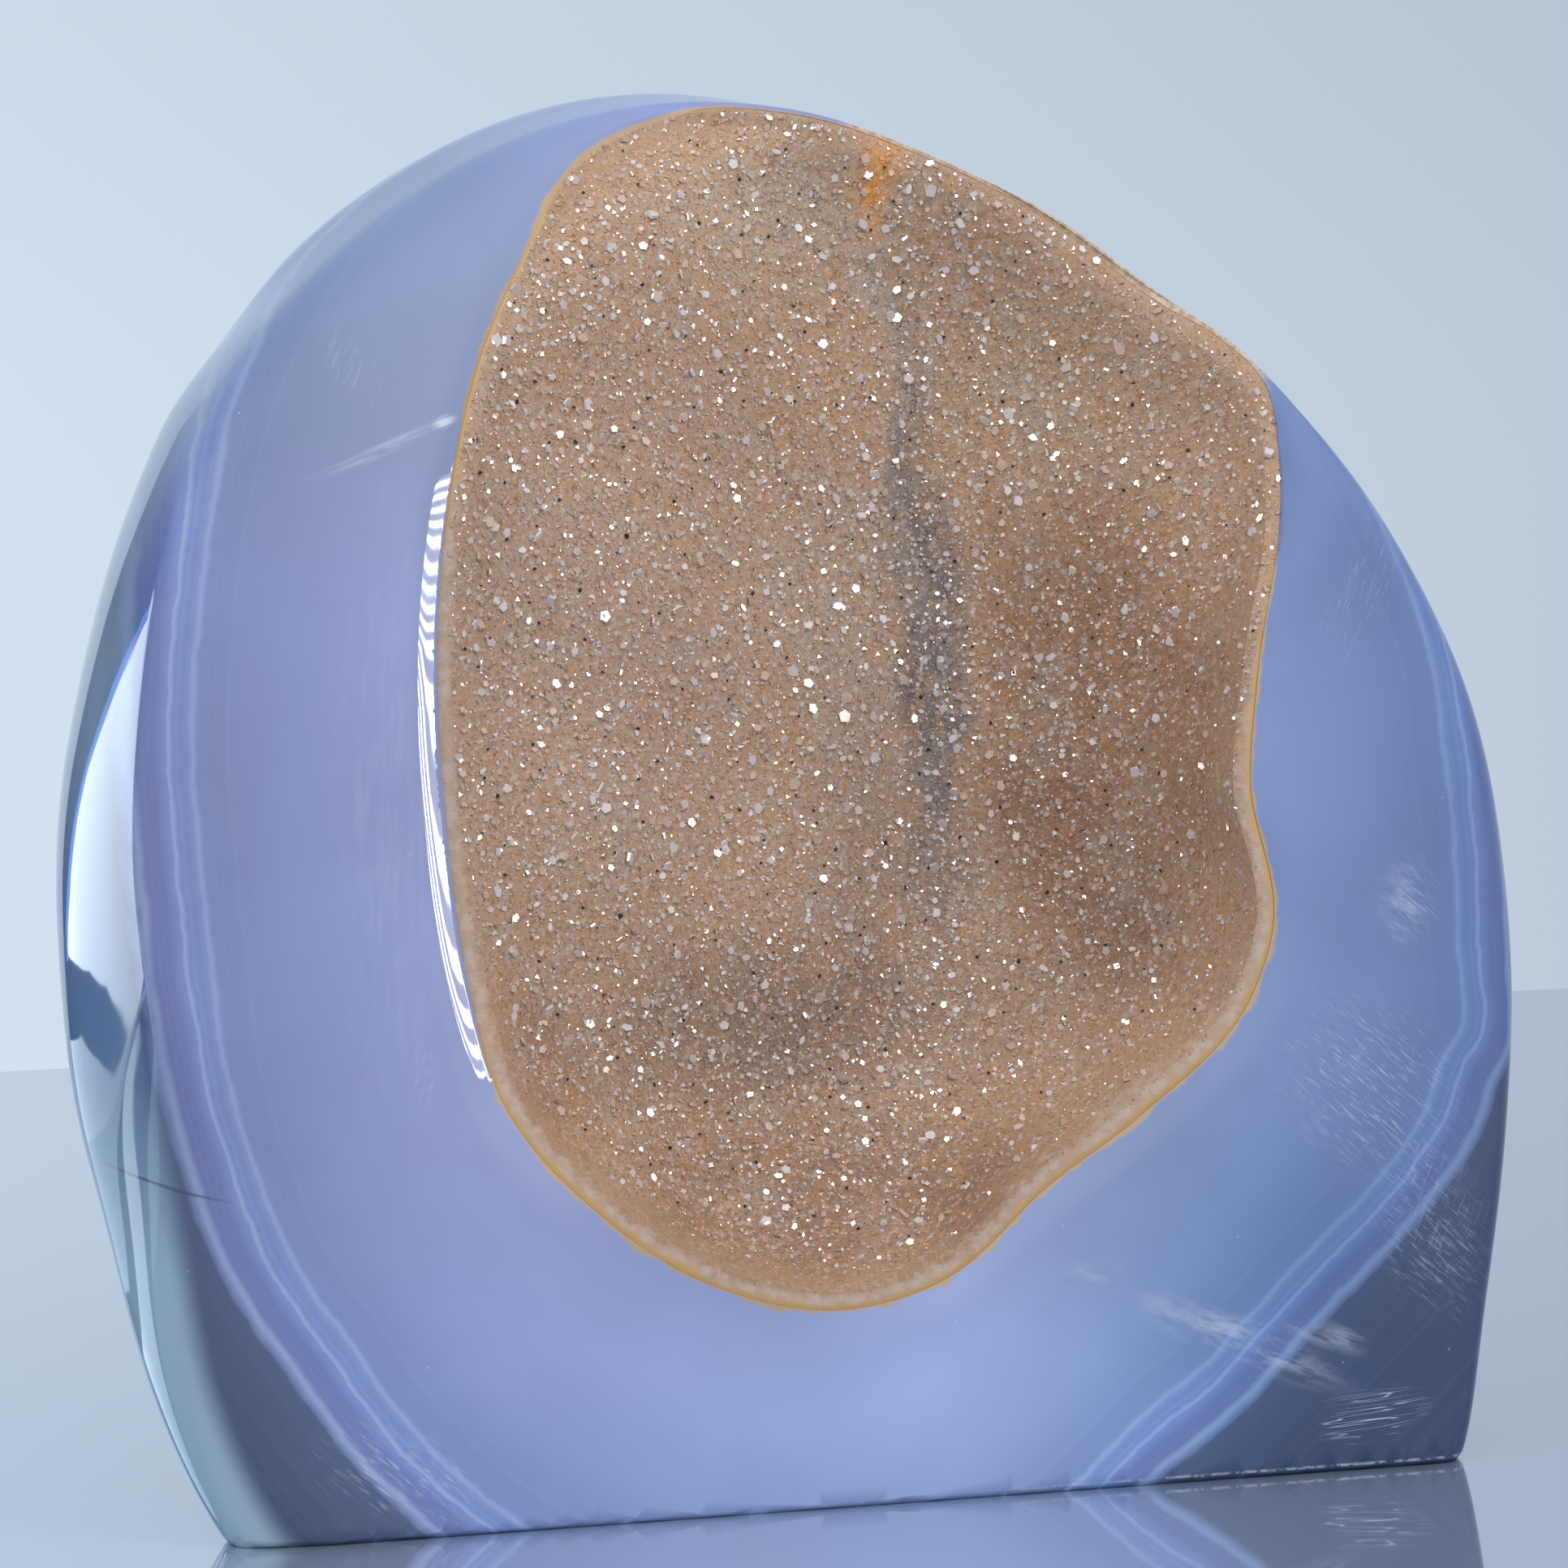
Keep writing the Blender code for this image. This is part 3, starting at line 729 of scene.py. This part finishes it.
# White marks inside and on the stone: the kind, turn, length, width and fullness of their streaks, then the
# centre, radii, turn and strength of each place that has them
STONE_MARKS = [
    (streaks, -42.0, 1.2, 0.13, 0.36, [
        ((35.1, 34.5), (3.0, 4.0), 0.0, 0.5), ((32.5, 23.5), (6.5, 9.0), 50.0, 0.7),
        ((-26.5, 4.0), (6.5, 3.6), -25.0, 0.9), ((36.5, 14.0), (4.5, 7.0), 20.0, 0.5),
    ]),
    (streaks, 65.0, 1.5, 0.14, 0.34, [
        ((32.5, 53.0), (2.6, 6.5), -25.0, 0.5), ((-24.6, 27.5), (1.0, 4.5), 0.0, 0.6),
        ((-27.0, 68.0), (2.0, 3.6), 20.0, 0.4), ((37.0, 16.0), (4.0, 6.0), 20.0, 0.35),
    ]),
    (hairlines, 4.0, 4.0, 0.16, 0.44, [((32.4, 3.4), (4.5, 2.0), 5.0, 1.2)]),
    (streaks, -24.0, 3.6, 0.80, 0.46, [
        ((24.0, 8.6), (9.5, 1.8), -26.0, 0.55), ((30.0, 8.4), (4.0, 1.2), -18.0, 0.4),
        ((14.8, 13.2), (3.2, 1.2), 8.0, 0.3), ((35.1, 34.5), (2.2, 3.2), 0.0, 0.3),
    ]),
    (streaks, 88.0, 4.0, 0.6, 0.44, [((-26.0, 42.0), (4.5, 26.0), 0.0, 0.12)]),
    (streaks, 20.0, 3.0, 0.30, 0.48, [
        ((-26.0, 63.0), (5.5, 0.6), 22.0, 0.4), ((-21.9, 64.6), (1.0, 0.5), 20.0, 1.2),
    ]),
]


def chalcedony_finish():
    material, tree, shader = new_material("polished_banded_chalcedony")
    spot = place_in_mm(tree)
    axes = add(tree, "SeparateXYZ", {0: spot})
    growth = value_of(tree, "growth")
    slow = maths(tree, "MULTIPLY", maths(tree, "SUBTRACT", speckle(tree, spot, 0.05), 0.5), 1.2)
    quick = maths(tree, "MULTIPLY", maths(tree, "SUBTRACT", speckle(tree, spot, 0.5, 4.0), 0.5), 0.5)
    shell = maths(tree, "ADD", growth, maths(tree, "ADD", slow, quick))
    colour = ramp(tree, shell, -32.0, 6.0, STONE_BANDS)

    lines = add(tree, "TexNoise", {"W": shell, "Scale": 1.6, "Detail": 4.0, "Roughness": 0.7},
                noise_dimensions="1D").outputs["Fac"]
    strength = maths(tree, "MULTIPLY", spread(tree, shell, -8.0, -3.0), 0.45)
    lines = spread(tree, lines, 0.3, 0.7, 0.75, 1.25, "LINEAR")
    lines = blend(tree, strength, (1.0, 1.0, 1.0), lines)
    colour = blend(tree, 1.0, colour, lines, "MULTIPLY")
    cloud = spread(tree, speckle(tree, spot, 0.07, 3.0), 0.3, 0.7, 0.92, 1.08, "LINEAR")
    colour = blend(tree, 1.0, colour, cloud, "MULTIPLY")
    # Painted light and shade: the first three darken the right side and lighten the lower face, as the light falls and
    # the table is mirrored; the last three are soft patches of the stone's own tone.
    for mask, tint in [
        (spread(tree, axes.outputs["X"], 8.0, 32.0), (0.65, 0.78, 0.87)),
        (spread(tree, axes.outputs["Z"], 24.0, 2.0), (1.13, 1.18, 1.22)),
        (patch(tree, spot, (4.0, 5.0), (26.0, 13.0), 0.0, 0.9), (1.14, 1.18, 1.11)),
        (patch(tree, spot, (-29.0, 42.0), (10.0, 28.0), 0.0, 0.8), (0.93, 0.94, 0.98)),
        (patch(tree, spot, (20.0, 17.0), (20.0, 16.0), -40.0, 0.9), (0.90, 0.97, 0.94)),
        (patch(tree, spot, (-26.0, 74.0), (22.0, 20.0), 40.0, 0.8), (0.86, 0.90, 0.84)),
    ]:
        colour = blend(tree, 1.0, colour, blend(tree, mask, (1.0, 1.0, 1.0), tint), "MULTIPLY")

    past_edge = value_of(tree, "past_edge")
    on_side = spread(tree, past_edge, 0.2, 2.2)
    left = spread(tree, axes.outputs["X"], -26.0, -34.0)
    clear_side_and_painted_reflection = maths(tree, "MULTIPLY", maths(tree, "MULTIPLY", on_side, left), 0.85)
    # The clear left side takes its tone with painted reflection, by height.
    side = ramp(tree, axes.outputs["Z"], 16.0, 50.0, SIDE_TONE_AND_PAINTED_REFLECTION)
    colour = blend(tree, clear_side_and_painted_reflection, colour, side)

    front = spread(tree, axes.outputs["Y"], 1.0, -2.0)
    past_rim = value_of(tree, "past_rim")
    teeth = spread(tree, speckle(tree, spot, 0.55, 3.0, 0.6), 0.42, 0.72, 0.2, 1.3, "LINEAR")
    reach = maths(tree, "MULTIPLY", value_of(tree, "rust"), teeth)
    stain = spread(tree, maths(tree, "SUBTRACT", past_rim, reach), 0.16, -0.10)
    stain = maths(tree, "MULTIPLY", stain, spread(tree, value_of(tree, "rust"), 0.02, 0.12, 0.0, 0.85))
    ragged = maths(tree, "MULTIPLY", maths(tree, "SUBTRACT", speckle(tree, spot, 0.6, 4.0, 0.65), 0.5), 3.0)
    near_rim = spread(tree, maths(tree, "ADD", value_of(tree, "behind_rim"), ragged), 1.5, 1.0)
    colour = blend(tree, maths(tree, "MULTIPLY", stain, near_rim), colour, (0.54, 0.37, 0.17))

    opened = spread(tree, value_of(tree, "opened"), 0.90, 1.0)
    crust = maths(tree, "MULTIPLY", opened, spread(tree, past_rim, 1.3, 0.7))
    crust = maths(tree, "MULTIPLY", crust, near_rim)
    sugar = spread(tree, speckle(tree, spot, 2.6, 3.0, 0.7), 0.40, 0.62)
    colour = blend(tree, crust, colour, blend(tree, sugar, (0.42, 0.31, 0.22), (0.62, 0.52, 0.42)))

    white = 0.0
    for kind, run, length, width, fullness, places in STONE_MARKS:
        room = 0.0
        for centre, radii, turn, strength in places:
            here = maths(tree, "MULTIPLY", patch(tree, spot, centre, radii, turn, 0.9), strength)
            room = maths(tree, "ADD", room, here)
        white = maths(tree, "ADD", white, maths(tree, "MULTIPLY", kind(tree, spot, run, length, width, fullness), room))
    cells = add(tree, "TexVoronoi", {"Vector": spot, "Scale": 0.45})
    dot = spread(tree, cells.outputs["Distance"], 0.045, 0.02)
    kept = add(tree, "SeparateXYZ", {0: cells.outputs["Color"]}).outputs["X"]
    dot = maths(tree, "MULTIPLY", dot, spread(tree, kept, 0.7, 0.9, 0.0, 0.45))
    white = maths(tree, "MULTIPLY", maths(tree, "ADD", white, dot, clamp=True), front)
    chalk = spread(tree, speckle(tree, spot, 2.2, 3.0, 0.65), 0.40, 0.60)
    from_base = value_of(tree, "from_base")
    frosted = maths(tree, "MULTIPLY", spread(tree, from_base, 0.54, 0.42), spread(tree, from_base, 0.28, 0.36))
    chipped = maths(tree, "MULTIPLY", frosted, chalk)
    chipped = maths(tree, "MULTIPLY", chipped, spread(tree, axes.outputs["X"], 0.0, 26.0, 0.0, 0.6))
    # A painted reflection: a thin dark line low on the left side, as of a mirrored dark edge.
    painted_reflection_line = patch(tree, spot, (-39.0, 21.2), (4.4, 0.16), -13.5, 0.8)
    colour = blend(tree, maths(tree, "MULTIPLY", painted_reflection_line, 0.75), colour, (0.045, 0.070, 0.120))
    colour = blend(tree, white, colour, (0.62, 0.70, 0.86))
    colour = blend(tree, chipped, colour, (0.62, 0.66, 0.78))

    tree.links.new(colour, shader.inputs["Base Color"])
    rough = spread(tree, speckle(tree, spot, 0.35, 4.0), 0.4, 0.8, 0.035, 0.075)
    rough = maths(tree, "ADD", rough, maths(tree, "MULTIPLY", maths(tree, "ADD", chipped, crust), 0.5))
    tree.links.new(rough, shader.inputs["Roughness"])
    shader.inputs["IOR"].default_value = 1.54
    return material


# Stained places of the druse, some of them painted light and shade: the lighter left wall, the darker right wall and
# the dark lines along the valleys. Centre, radii, turn, colour, strength
DRUSE_STAINS_AND_PAINTED_SHADING = [
    # painted light: the left wall lighter
    ((-12.0, 52.0), (17.0, 26.0), 0.0, (0.440, 0.308, 0.240), 0.7),
    # painted shade: the right wall darker, deepest near the valley
    ((18.5, 47.0), (9.5, 20.0), 0.0, (0.275, 0.145, 0.082), 0.90),
    ((15.6, 42.0), (4.6, 16.0), 0.0, (0.220, 0.118, 0.072), 0.65),
    ((2.0, 18.0), (21.0, 9.0), 0.0, (0.240, 0.145, 0.104), 0.90),
    ((-17.5, 27.0), (5.0, 9.0), 0.0, (0.330, 0.180, 0.115), 0.70),
    ((4.0, 50.0), (7.0, 16.0), 12.0, (0.350, 0.285, 0.250), 0.6),
    # painted shade: dark lines down the valley
    ((8.0, 62.0), (2.6, 14.0), -2.0, (0.215, 0.190, 0.190), 0.80),
    ((9.4, 47.0), (3.0, 22.0), 2.0, (0.135, 0.125, 0.138), 0.95),
    ((5.0, 36.0), (9.0, 10.0), 0.0, (0.300, 0.235, 0.205), 0.60),
    # painted shade: a dark line along the low valley
    ((1.0, 28.0), (24.0, 7.0), 0.0, (0.205, 0.146, 0.125), 0.80),
    ((20.0, 33.0), (5.0, 7.0), -35.0, (0.210, 0.125, 0.085), 0.70),
    ((7.0, 72.0), (2.4, 6.0), 0.0, (0.400, 0.350, 0.300), 0.6),
    ((0.0, 77.0), (12.0, 6.0), 0.0, (0.520, 0.410, 0.310), 0.7),
    ((5.4, 79.0), (2.2, 4.6), 8.0, (0.760, 0.320, 0.060), 1.0),
    ((15.0, 66.5), (10.0, 7.0), 35.0, (0.380, 0.265, 0.165), 0.7),
]

# Small flecks of the druse: repeats for each mm, the noise where they start and are full, amount, colour
DRUSE_FLECKS = [
    (3.1, 0.54, 0.66, 0.50, (0.210, 0.110, 0.055)),
    (3.7, 0.56, 0.68, 0.50, (0.580, 0.290, 0.110)),
    (2.3, 0.55, 0.66, 0.55, (0.520, 0.440, 0.400)),
]


def druse_colour(tree, spot):
    """The druse's stains from place to place, with painted light and shade on its walls and valleys, shared by its bed
    and its crystals.
    """
    drift = add(tree, "TexNoise", {"Vector": spot, "Scale": 0.16, "Detail": 4.0}).outputs["Color"]
    drift = add(tree, "VectorMath", {0: drift, 1: (0.5, 0.5, 0.5)}, operation="SUBTRACT").outputs[0]
    drift = add(tree, "VectorMath", {0: drift, "Scale": 7.0}, operation="SCALE").outputs[0]
    moved = add(tree, "VectorMath", {0: spot, 1: drift}, operation="ADD").outputs[0]
    colour = (0.445, 0.285, 0.185)
    for centre, radii, turn, tint, amount in DRUSE_STAINS_AND_PAINTED_SHADING:
        mask = maths(tree, "MULTIPLY", patch(tree, moved, centre, radii, turn, 0.85), amount)
        colour = blend(tree, mask, colour, tint)
    grey = spread(tree, speckle(tree, spot, 0.28, 4.0, 0.6), 0.48, 0.66)
    colour = blend(tree, maths(tree, "MULTIPLY", grey, 0.35), colour, (0.370, 0.315, 0.270))
    orange = spread(tree, speckle(tree, spot, 0.75, 4.0, 0.7), 0.47, 0.66)
    colour = blend(tree, maths(tree, "MULTIPLY", orange, 0.40), colour, (0.48, 0.250, 0.105))
    for scale, low, high, amount, tint in DRUSE_FLECKS:
        fleck = spread(tree, speckle(tree, spot, scale, 2.0, 0.6), low, high, 0.0, amount)
        colour = blend(tree, fleck, colour, tint)
    return colour


def bed_finish():
    material, tree, shader = new_material("druse_bed_quartz")
    spot = place_in_mm(tree)
    inset = value_of(tree, "inset")
    colour = druse_colour(tree, spot)
    powder = speckle(tree, spot, 5.5, 3.0, 0.7)
    colour = blend(tree, 1.0, colour, spread(tree, powder, 0.3, 0.7, 0.80, 1.20, "LINEAR"), "MULTIPLY")
    waver = maths(tree, "MULTIPLY", maths(tree, "SUBTRACT", speckle(tree, spot, 0.9, 4.0, 0.65), 0.5), 1.6)
    wavy = maths(tree, "ADD", inset, waver)
    bare = maths(tree, "MULTIPLY", spread(tree, wavy, 2.6, 1.0), 0.3)
    colour = blend(tree, bare, colour, (0.46, 0.320, 0.225))
    milky = value_of(tree, "milky")
    band = spread(tree, maths(tree, "SUBTRACT", wavy, milky), 0.50, -0.20)
    band = maths(tree, "MULTIPLY", band, spread(tree, milky, 0.05, 0.5, 0.0, 0.8))
    cream = blend(tree, spread(tree, speckle(tree, spot, 1.3, 3.0), 0.4, 0.65), (0.52, 0.38, 0.28), (0.60, 0.48, 0.42))
    colour = blend(tree, band, colour, cream)
    rust = value_of(tree, "rust")
    edge = maths(tree, "ADD", inset, maths(tree, "MULTIPLY", waver, 0.5))
    edge = spread(tree, maths(tree, "SUBTRACT", edge, rust), 0.14, -0.14)
    edge = maths(tree, "MULTIPLY", edge, spread(tree, rust, 0.02, 0.2, 0.0, 0.9))
    ochre = blend(tree, speckle(tree, spot, 0.5, 3.0), (0.62, 0.34, 0.09), (0.60, 0.42, 0.20))
    colour = blend(tree, edge, colour, ochre)
    tree.links.new(colour, shader.inputs["Base Color"])
    shader.inputs["Roughness"].default_value = 0.5
    shader.inputs["IOR"].default_value = 1.54
    bump = add(tree, "Bump", {"Height": powder, "Strength": 0.5, "Distance": 0.00008})
    tree.links.new(bump.outputs[0], shader.inputs["Normal"])
    return material


def grit_finish():
    material, tree, shader = new_material("quartz_grit")
    grain = value_of(tree, "grain")
    hue = ramp(tree, grain, 0.0, 0.5, [
        (0.0, (0.80, 0.70, 0.62)), (0.12, (0.85, 0.76, 0.68)), (0.20, (1.0, 0.97, 0.93)), (0.28, (1.20, 0.98, 0.74)),
        (0.34, (0.92, 0.98, 1.08)), (0.45, (1.20, 1.18, 1.16)),
    ])
    colour = blend(tree, 1.0, druse_colour(tree, place_in_mm(tree)), hue, "MULTIPLY")
    black = spread(tree, grain, 0.03, 0.02)
    colour = blend(tree, black, colour, (0.014, 0.012, 0.013))
    tree.links.new(colour, shader.inputs["Base Color"])
    shader.inputs["Roughness"].default_value = 0.45
    shader.inputs["IOR"].default_value = 1.54
    return material


def flake_finish():
    material, tree, shader = new_material("quartz_flakes")
    grain = value_of(tree, "grain")
    # The paler flakes are partly milky quartz and partly a painted glint.
    pale = spread(tree, grain, 0.58, 0.95, 0.20, 0.80)
    tint = ramp(tree, grain, 0.5, 1.0, [
        (0.5, (0.58, 0.47, 0.40)), (0.74, (0.58, 0.51, 0.51)), (0.78, (0.74, 0.52, 0.39)), (0.82, (0.58, 0.54, 0.58)),
        (1.0, (0.72, 0.68, 0.70)),
    ])
    colour = blend(tree, pale, druse_colour(tree, place_in_mm(tree)), tint)
    tree.links.new(colour, shader.inputs["Base Color"])
    shader.inputs["Roughness"].default_value = 0.06
    shader.inputs["IOR"].default_value = 1.9
    return material


# Stage, lights and camera

TARGET = (-0.3, -7.0, 42.2)
CAMERA_DISTANCE = 300.0
CAMERA_TURN = -12.0
CAMERA_RISE = 4.0
CAMERA_ROLL = 1.6
VIEW_ANGLE = 18.0
SENSOR = 36.0


def direction(turn, rise):
    """A unit vector out from the stone: turn 0 is out of its front, positive to its right."""
    turn, rise = math.radians(turn), math.radians(rise)
    return Vector((math.sin(turn) * math.cos(rise), -math.cos(turn) * math.cos(rise), math.sin(rise)))


def make_camera():
    data = bpy.data.cameras.new("camera")
    data.sensor_width = SENSOR
    data.lens = SENSOR / 2 / math.tan(math.radians(VIEW_ANGLE / 2))
    data.clip_start = 0.01
    data.clip_end = 10.0
    camera = bpy.data.objects.new("camera", data)
    back = direction(CAMERA_TURN, CAMERA_RISE)
    right = (-back).cross(Vector((0, 0, 1))).normalized()
    up = right.cross(-back)
    roll = math.radians(CAMERA_ROLL)
    tilted_right = right * math.cos(roll) - up * math.sin(roll)
    tilted_up = up * math.cos(roll) + right * math.sin(roll)
    turned = Matrix((tilted_right, tilted_up, back)).transposed().to_4x4()
    camera.matrix_world = Matrix.Translation((Vector(TARGET) + back * CAMERA_DISTANCE) * MM) @ turned
    bpy.context.scene.collection.objects.link(camera)
    bpy.context.scene.camera = camera


def make_light(name, turn, rise, distance, size, radiance, colour=(1.0, 1.0, 1.0)):
    """A round area light that looks at the stone's middle. It lights, but nothing mirrors it."""
    data = bpy.data.lights.new(name, "AREA")
    data.shape = "DISK"
    data.size = size * MM
    data.energy = radiance * math.pi * math.pi / 4 * (size * MM) ** 2
    data.color = colour
    light = bpy.data.objects.new(name, data)
    out = direction(turn, rise)
    light.location = (Vector((0.0, -10.0, 42.0)) + out * distance) * MM
    light.rotation_mode = "QUATERNION"
    light.rotation_quaternion = out.to_track_quat("Z", "Y")
    light.visible_camera = False
    light.visible_glossy = False
    bpy.context.scene.collection.objects.link(light)
    return light


def light_only(name, sources, pieces):
    """Let lights or cards light only the given pieces."""
    group = bpy.data.collections.new(name)
    for piece in pieces:
        group.objects.link(piece)
    for source in sources:
        source.light_linking.receiver_collection = group


def make_sparkle_lights(flakes):
    """Small soft boxes that only the flat crystals mirror, so that the polished stone stays free of them."""
    lights = []
    for turn, rise, size, radiance in SPARKLES:
        light = make_light(f"sparkle_{turn}_{rise}", turn, rise, 500, size, radiance)
        light.visible_glossy = True
        light.visible_diffuse = False
        lights.append(light)
    light_only("sparkling", lights, flakes)


def make_card(name, origin, turn, outline, colour, stripes=False, fade=None):
    """A standing card that only reflections see. Its outline is across and up in mm from its origin.

    A striped card is glass between and behind its stripes, which cross it high up and run down it below.
    """
    along = Vector((math.cos(math.radians(turn)), math.sin(math.radians(turn)), 0.0))
    bm = bmesh.new()
    corners = []
    for across, up in outline:
        corners += bmesh.ops.create_vert(bm, co=(Vector(origin) + along * across + Vector((0, 0, up))) * MM)["vert"]
    bmesh.ops.contextual_create(bm, geom=corners)
    material, tree, shader = new_material(name)
    glow = add(tree, "Emission", {"Color": (*colour, 1.0), "Strength": 1.0})
    surface = glow.outputs[0]
    if fade:
        up = add(tree, "SeparateXYZ", {0: place_in_mm(tree)}).outputs["Z"]
        tree.links.new(blend(tree, spread(tree, up, *fade), colour, (0.52, 0.60, 0.70)), glow.inputs["Color"])
    if stripes:
        axes = add(tree, "SeparateXYZ", {0: place_in_mm(tree)})
        high = maths(tree, "MAXIMUM", maths(tree, "SUBTRACT", axes.outputs["Z"], 50.0), 0.0)
        count = maths(tree, "ADD", maths(tree, "MULTIPLY", axes.outputs["Z"], 0.12), maths(tree, "MULTIPLY", high, 0.7))
        slant = spread(tree, axes.outputs["Z"], 46.0, 54.0, 0.24, 0.08)
        count = maths(tree, "ADD", count, maths(tree, "MULTIPLY", axes.outputs["Y"], slant))
        wave = maths(tree, "SINE", maths(tree, "MULTIPLY", count, 2 * math.pi))
        tree.links.new(spread(tree, wave, -0.3, 0.5, 0.12, 1.0), glow.inputs["Strength"])
        surface = add(tree, "AddShader", {0: surface, 1: add(tree, "BsdfTransparent").outputs[0]}).outputs[0]
    tree.links.new(surface, tree.nodes["Material Output"].inputs["Surface"])
    card = finish_piece(bm, name, material, smooth=False)
    card.visible_camera = False
    card.visible_diffuse = False
    card.visible_shadow = False
    return card


# Turn, rise, size and radiance
SPARKLES = [
    (-20, 38, 165, 8.0), (-50, 18, 130, 14.0), (10, 22, 130, 14.0), (36, 10, 165, 7.0), (64, 32, 165, 12.0),
    (-80, 40, 165, 7.0), (-5, 66, 165, 9.0), (30, 52, 165, 12.0), (95, 12, 165, 10.0),
]

# The cards' outlines, as across and up in mm
FACET_CARD_AT = (-99.2, 95.0, 0.0)
FACET_CARD_TURN = -151
WINDOW_EDGE = [(39.7, 80.3), (18.0, 67.0), (11.5, 61.9), (9.6, 59.1), (7.4, 56.7), (6.0, 54.5), (4.0, 52.2),
               (-0.4, 46.8), (-3.0, 40.8), (-5.4, 34.6), (-7.5, 28.8), (-11.7, 23.9), (-13.2, 21.8)]
WINDOW_REST = [(3.2, 20.2), (19.1, 18.0), (35.8, 13.2), (49.9, 6.6), (60.0, 1.0), (66.0, 1.0), (75.0, 9.0),
               (75.0, 84.0)]
FRINGE = [(36.0, 82.0), (14.5, 68.5), (8.2, 62.8), (6.2, 60.0), (3.8, 57.4), (2.4, 55.2), (0.4, 52.6),
          (-3.8, 46.8), (-7.2, 40.8), (-10.2, 34.6), (-13.0, 28.8), (-16.6, 23.9), (-17.0, 21.0), (0.0, 22.0),
          (20.0, 30.0), (44.0, 76.0)]
SHADE = [(-30.0, 122.0), (-24.0, 80.0), (-24.0, 13.0), (5.7, 12.8), (29.4, 7.8), (49.1, 2.5), (64.0, 0.5),
         (90.0, 0.5), (90.0, 122.0)]
SHADE_FADE = (66.0, 120.0)
PALE_FOOT = [(-24.0, 0.0), (140.0, 0.0), (140.0, 16.0), (-24.0, 16.0)]
LIP_CARD = [(-27.0, 30.0), (-9.5, 30.0), (-9.5, 60.5), (-27.0, 60.5)]


def make_floor():
    bm = bmesh.new()
    bmesh.ops.create_grid(bm, x_segments=8, y_segments=8, size=1.0)
    back, front, side = 215.0, -1500.0, 1500.0
    for vertex in bm.verts:
        x, y = vertex.co.x * side, front + (vertex.co.y + 1.0) / 2.0 * (back - front)
        vertex.co = Vector((x, y, -0.02)) * MM
    material, tree, shader = new_material("table")
    # Painted light: the table is lighter on its left than on its right.
    across = add(tree, "SeparateXYZ", {0: place_in_mm(tree)}).outputs["X"]
    base = blend(tree, spread(tree, across, -60.0, 60.0), (0.46, 0.55, 0.68), (0.37, 0.46, 0.60))
    tree.links.new(base, shader.inputs["Base Color"])
    shader.inputs["Roughness"].default_value = 0.03
    shader.inputs["IOR"].default_value = 2.4
    shader.inputs["Metallic"].default_value = 0.5
    shader.inputs["Coat Weight"].default_value = 1.0
    shader.inputs["Coat Roughness"].default_value = 0.03
    floor = finish_piece(bm, "floor", material, smooth=False)


def make_world():
    world = bpy.data.worlds.new("soft_room")
    bpy.context.scene.world = world
    world.use_nodes = True
    tree = world.node_tree
    background = tree.nodes["Background"]
    looking = add(tree, "TexCoord").outputs["Generated"]
    axes = add(tree, "SeparateXYZ", {0: looking})
    across = spread(tree, axes.outputs["X"], 0.05, 0.36, kind="LINEAR")
    colour = blend(tree, across, (0.640, 0.755, 0.880), (0.512, 0.595, 0.705))
    upper = spread(tree, axes.outputs["Z"], -0.02, 0.12, 1.0, 0.92)
    colour = blend(tree, 1.0, colour, upper, "MULTIPLY")
    in_front = spread(tree, axes.outputs["Y"], 0.1, -0.5)
    colour = blend(tree, in_front, colour, (1.02, 1.00, 0.98))
    tree.links.new(colour, background.inputs["Color"])
    background.inputs["Strength"].default_value = 1.0


def main():
    bpy.context.scene.view_settings.view_transform = "Standard"
    make_camera()
    make_world()
    make_floor()
    make_light("key", 40, 45, 500, 160, 12.0, (1.0, 0.93, 0.86))
    make_light("soft_left", -60, 35, 500, 220, 3.0, (1.0, 0.96, 0.92))
    beyond = Vector(FACET_CARD_AT)
    step = direction(FACET_CARD_TURN, 0.0) * 0.6
    for name, outline, colour, fade in [
        ("window", WINDOW_EDGE + WINDOW_REST, (3.1, 3.55, 3.9), None),
        ("fringe", FRINGE, (0.3, 0.7, 2.2), None),
        ("shade", SHADE, (0.02, 0.03, 0.10), SHADE_FADE),
        ("pale_foot", PALE_FOOT, (1.3, 1.6, 1.8), None),
    ]:
        make_card(name, beyond, FACET_CARD_TURN, outline, colour, fade=fade)
        beyond = beyond + step
    lip_strip = make_card("lip_strip", (0.0, 0.0, 0.0), 90, LIP_CARD, (20.0, 20.0, 20.0), stripes=True)

    stone = make_stone(chalcedony_finish())
    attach(stone, "root")
    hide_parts("agate_stone")
    bed = make_bed(bed_finish())
    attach(bed, "root")
    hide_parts("druse_crust")
    flat_ones = [layer for layer in LAYERS if layer[0] in SPARKLING]
    rest = [layer for layer in LAYERS if layer[0] not in SPARKLING]
    flakes = make_crystals("druse_flakes", flat_ones, flake_finish())
    grit = make_crystals("druse_grit", rest, grit_finish())
    for piece in flakes + grit:
        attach(piece, "root")
        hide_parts("druse_crust")
    make_sparkle_lights(flakes)
    light_only("shiny", [lip_strip], [stone])


main()
